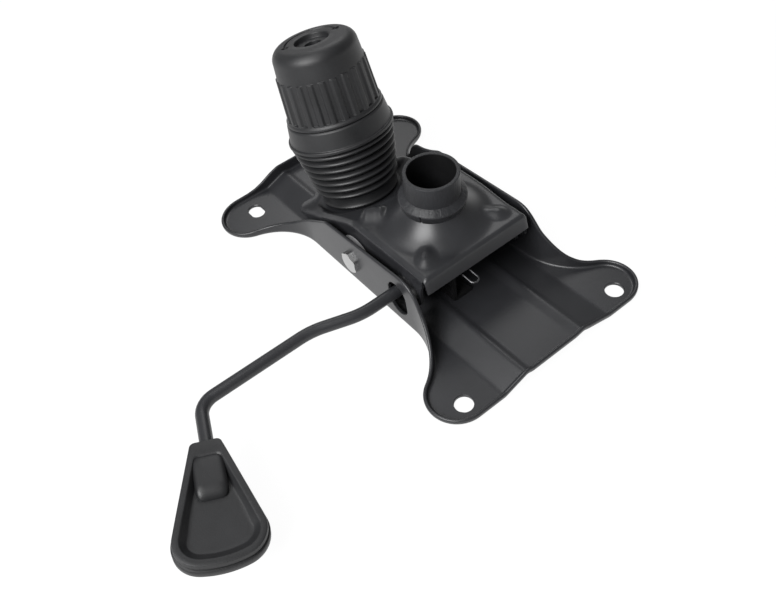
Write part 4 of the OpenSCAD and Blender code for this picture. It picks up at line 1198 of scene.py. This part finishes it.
class TILT_OT_fasteners(bpy.types.Operator):
    """Makes the pivot bolt with its chamfered head, the wire hairpin, and dresses the plain pieces"""

    bl_idname = "tilt.fasteners"
    bl_label = "Make fasteners"

    def execute(self, context):
        self.pivot_bolt(-mm(context.scene.tilt_plate.waist))
        self.hairpin()
        for node, (finish, slot) in PLAIN_PIECES.items():
            piece = frame["nodes"][node]
            piece.data.materials.clear()
            piece.data.materials.append(FINISHES[finish])
        return {"FINISHED"}

    def pivot_bolt(self, seat):
        """The bolt: a round shank, and a hexagon whose outer corners are cut by a shallow cone."""
        low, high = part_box("pivot_bolt")
        centre = np.array([(low[0] + high[0]) / 2, 0, (low[2] + high[2]) / 2]) / MM
        head, flat, corner = 3.0, 6.9, 7.5
        shank, tip, shank_end, bolt_end = 4.0, 3.4, -102.5, -103.6
        face = 0.98 * flat
        turn = np.linspace(0, FULL_TURN, 96, endpoint=False)
        hexagon = np.minimum(flat / np.cos((turn + np.pi / 6) % (np.pi / 3) - np.pi / 6), corner)
        rows = [
            (0, head), (face, head), (hexagon, head - 0.55 * (hexagon - face)), (hexagon, 0), (shank, 0),
            (shank, shank_end), (tip, bolt_end), (0, bolt_end),
        ]
        radius = np.stack([row[0] + 0 * turn for row in rows])
        height = np.stack([row[1] + 0 * turn for row in rows])
        points = np.stack(
            [centre[0] + radius * np.cos(turn), seat - height, centre[2] + radius * np.sin(turn)], axis=-1
        )
        skin = patch(points, close_columns=True)
        add_piece("pivot_bolt_hex", [skin], "zinc", "seat_plate", ("pivot_bolt",), sharp_deg=24)

    def hairpin(self):
        """The hairpin: two straight legs under the cover and a half-round loop that shows below the lip."""
        low, high = (np.array(c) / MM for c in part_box("lever_spring"))
        wire_r, leg, loop_x, loop_z = 0.65, 24, 72.2, 31.0
        half = (high[1] - low[1]) / 2 - wire_r
        along = unit([1, 0, -0.12])
        side = np.array([0, 1.0, 0])
        bend = np.linspace(-np.pi / 2, np.pi / 2, 25)
        middle = np.array([loop_x - half, (low[1] + high[1]) / 2, loop_z])
        loop = middle + half * (np.cos(bend)[:, None] * along + np.sin(bend)[:, None] * side)
        start = middle - leg * along
        first = np.linspace(start - half * side, loop[0], 12)[:-1]
        last = np.linspace(loop[-1], start + half * side, 12)[1:]
        wire = sweep(np.concatenate([first, loop, last]), wire_r, 16)
        add_piece("lever_hairpin", [wire], "wire", "housing", ("lever_spring",))


# Each lamp: its place and its size in metres, and the setting that holds its power
LAMPS = {
    "key_lamp": ((0.28, -0.86, 0.82), (0.75, 0.45), "key_power"),
    "back_lamp": ((-0.74, 0.48, 0.86), (0.7, 0.5), "back_power"),
    "top_lamp": ((-0.1, -0.45, 1.1), (0.6, 0.6), "top_power"),
}
LAMP_AIM = (0.0, -0.03, 0.03)


class TILT_OT_stage(bpy.types.Operator):
    """Makes the floor, the lamps and the camera"""

    bl_idname = "tilt.stage"
    bl_label = "Make stage"

    def execute(self, context):
        s = context.scene.tilt_stage
        context.scene.view_settings.view_transform = "Standard"
        self.floor()
        self.sky(context, s)
        for name, (place, size, setting) in LAMPS.items():
            self.lamp(name, place, size, getattr(s, setting))
        self.camera(context, s)
        return {"FINISHED"}

    def camera(self, context, s):
        """The camera, turned so that its right and back directions are those of the settings."""
        camera = bpy.data.cameras.new("photo_camera")
        camera.sensor_fit = "HORIZONTAL"
        camera.sensor_width = 36.0
        camera.lens = s.lens
        camera.clip_start = 0.01
        holder = bpy.data.objects.new("photo_camera", camera)
        context.scene.collection.objects.link(holder)
        back = Vector(s.camera_back).normalized()
        right = (Vector(s.camera_right) - Vector(s.camera_right).dot(back) * back).normalized()
        turn = Matrix((right, back.cross(right), back)).transposed().to_4x4()
        holder.matrix_world = Matrix.Translation(Vector(s.camera_place)) @ turn
        context.scene.camera = holder

    def floor(self):
        """A wide floor just under the plate, white to the camera, to reflections and through gaps, with faint
        shadows."""
        white_share, reach, low = 0.93, 6.0, -0.0005
        finish = bpy.data.materials.new("pale_floor")
        finish.use_nodes = True
        tree = finish.node_tree
        join = tree.links.new
        shader = tree.nodes["Principled BSDF"]
        shader.inputs["Base Color"].default_value = (0.9, 0.9, 0.9, 1)
        shader.inputs["Roughness"].default_value = 0.9
        shader.inputs["Specular IOR Level"].default_value = 0.0
        rays = add_node(tree, "LightPath")
        seen = rays.outputs["Is Camera Ray"]
        for ray in ("Is Glossy Ray", "Is Transmission Ray"):
            either = add_node(tree, "Math")
            either.operation = "ADD"
            either.use_clamp = True
            join(seen, either.inputs[0])
            join(rays.outputs[ray], either.inputs[1])
            seen = either.outputs["Value"]
        share = add_node(tree, "Math")
        share.operation = "MULTIPLY"
        share.inputs[1].default_value = white_share
        join(seen, share.inputs[0])
        glow = add_node(tree, "Emission", Strength=1.03)
        mix = add_node(tree, "MixShader")
        join(share.outputs["Value"], mix.inputs["Fac"])
        join(shader.outputs["BSDF"], mix.inputs[1])
        join(glow.outputs["Emission"], mix.inputs[2])
        join(mix.outputs["Shader"], tree.nodes["Material Output"].inputs["Surface"])
        mesh = bpy.data.meshes.new("floor")
        corners = [(x * reach, y * reach, low) for x, y in ((-1, -1), (1, -1), (1, 1), (-1, 1))]
        mesh.from_pydata(corners, [], [(0, 1, 2, 3)])
        mesh.materials.append(finish)
        piece = bpy.data.objects.new("floor", mesh)
        bpy.context.scene.collection.objects.link(piece)

    def sky(self, context, s):
        """An even pale surround."""
        world = bpy.data.worlds.new("surround")
        world.use_nodes = True
        surround = world.node_tree.nodes["Background"]
        surround.inputs["Color"].default_value = (1, 1, 1, 1)
        surround.inputs["Strength"].default_value = s.sky
        context.scene.world = world

    def lamp(self, name, place, size, watts):
        """A rectangular soft lamp aimed at the object's middle."""
        light = bpy.data.lights.new(name, "AREA")
        light.shape = "RECTANGLE"
        light.size, light.size_y = size
        light.energy = watts
        holder = bpy.data.objects.new(name, light)
        bpy.context.scene.collection.objects.link(holder)
        aim = Vector(LAMP_AIM) - Vector(place)
        turn = aim.to_track_quat("-Z", "Y").to_matrix().to_4x4()
        holder.matrix_world = Matrix.Translation(Vector(place)) @ turn


OPERATORS = (
    TILT_OT_stage, TILT_OT_finishes, TILT_OT_seat_plate, TILT_OT_cover, TILT_OT_socket, TILT_OT_knob,
    TILT_OT_lever, TILT_OT_fasteners,
)
SETTINGS = {
    "tilt_plate": SeatPlateSizes,
    "tilt_housing": HousingSizes,
    "tilt_knob": KnobSizes,
    "tilt_lever": LeverSizes,
    "tilt_colours": FinishColours,
    "tilt_stage": StageSettings,
}


class TILT_PT_panel(bpy.types.Panel):
    """Lists the settings and the operators"""

    bl_idname = "TILT_PT_panel"
    bl_label = "Tilt mechanism"
    bl_space_type = "VIEW_3D"
    bl_region_type = "UI"
    bl_category = "Tilt"

    def draw(self, context):
        for name, group in SETTINGS.items():
            box = self.layout.box()
            box.label(text=group.__doc__)
            for setting in group.__annotations__:
                box.prop(getattr(context.scene, name), setting)
        for operator in OPERATORS:
            self.layout.operator(operator.bl_idname)


def register():
    """Registers the settings, the operators and the panel."""
    for cls in (*SETTINGS.values(), *OPERATORS, TILT_PT_panel):
        bpy.utils.register_class(cls)
    for name, group in SETTINGS.items():
        setattr(bpy.types.Scene, name, PointerProperty(type=group))


def unregister():
    """Takes the settings, the operators and the panel away again."""
    for name in SETTINGS:
        delattr(bpy.types.Scene, name)
    for cls in reversed((*SETTINGS.values(), *OPERATORS, TILT_PT_panel)):
        bpy.utils.unregister_class(cls)


def main():
    """Builds every piece in order."""
    register()
    for operator in OPERATORS:
        group, call = operator.bl_idname.split(".")
        getattr(getattr(bpy.ops, group), call)()


if __name__ == "__main__":
    main()
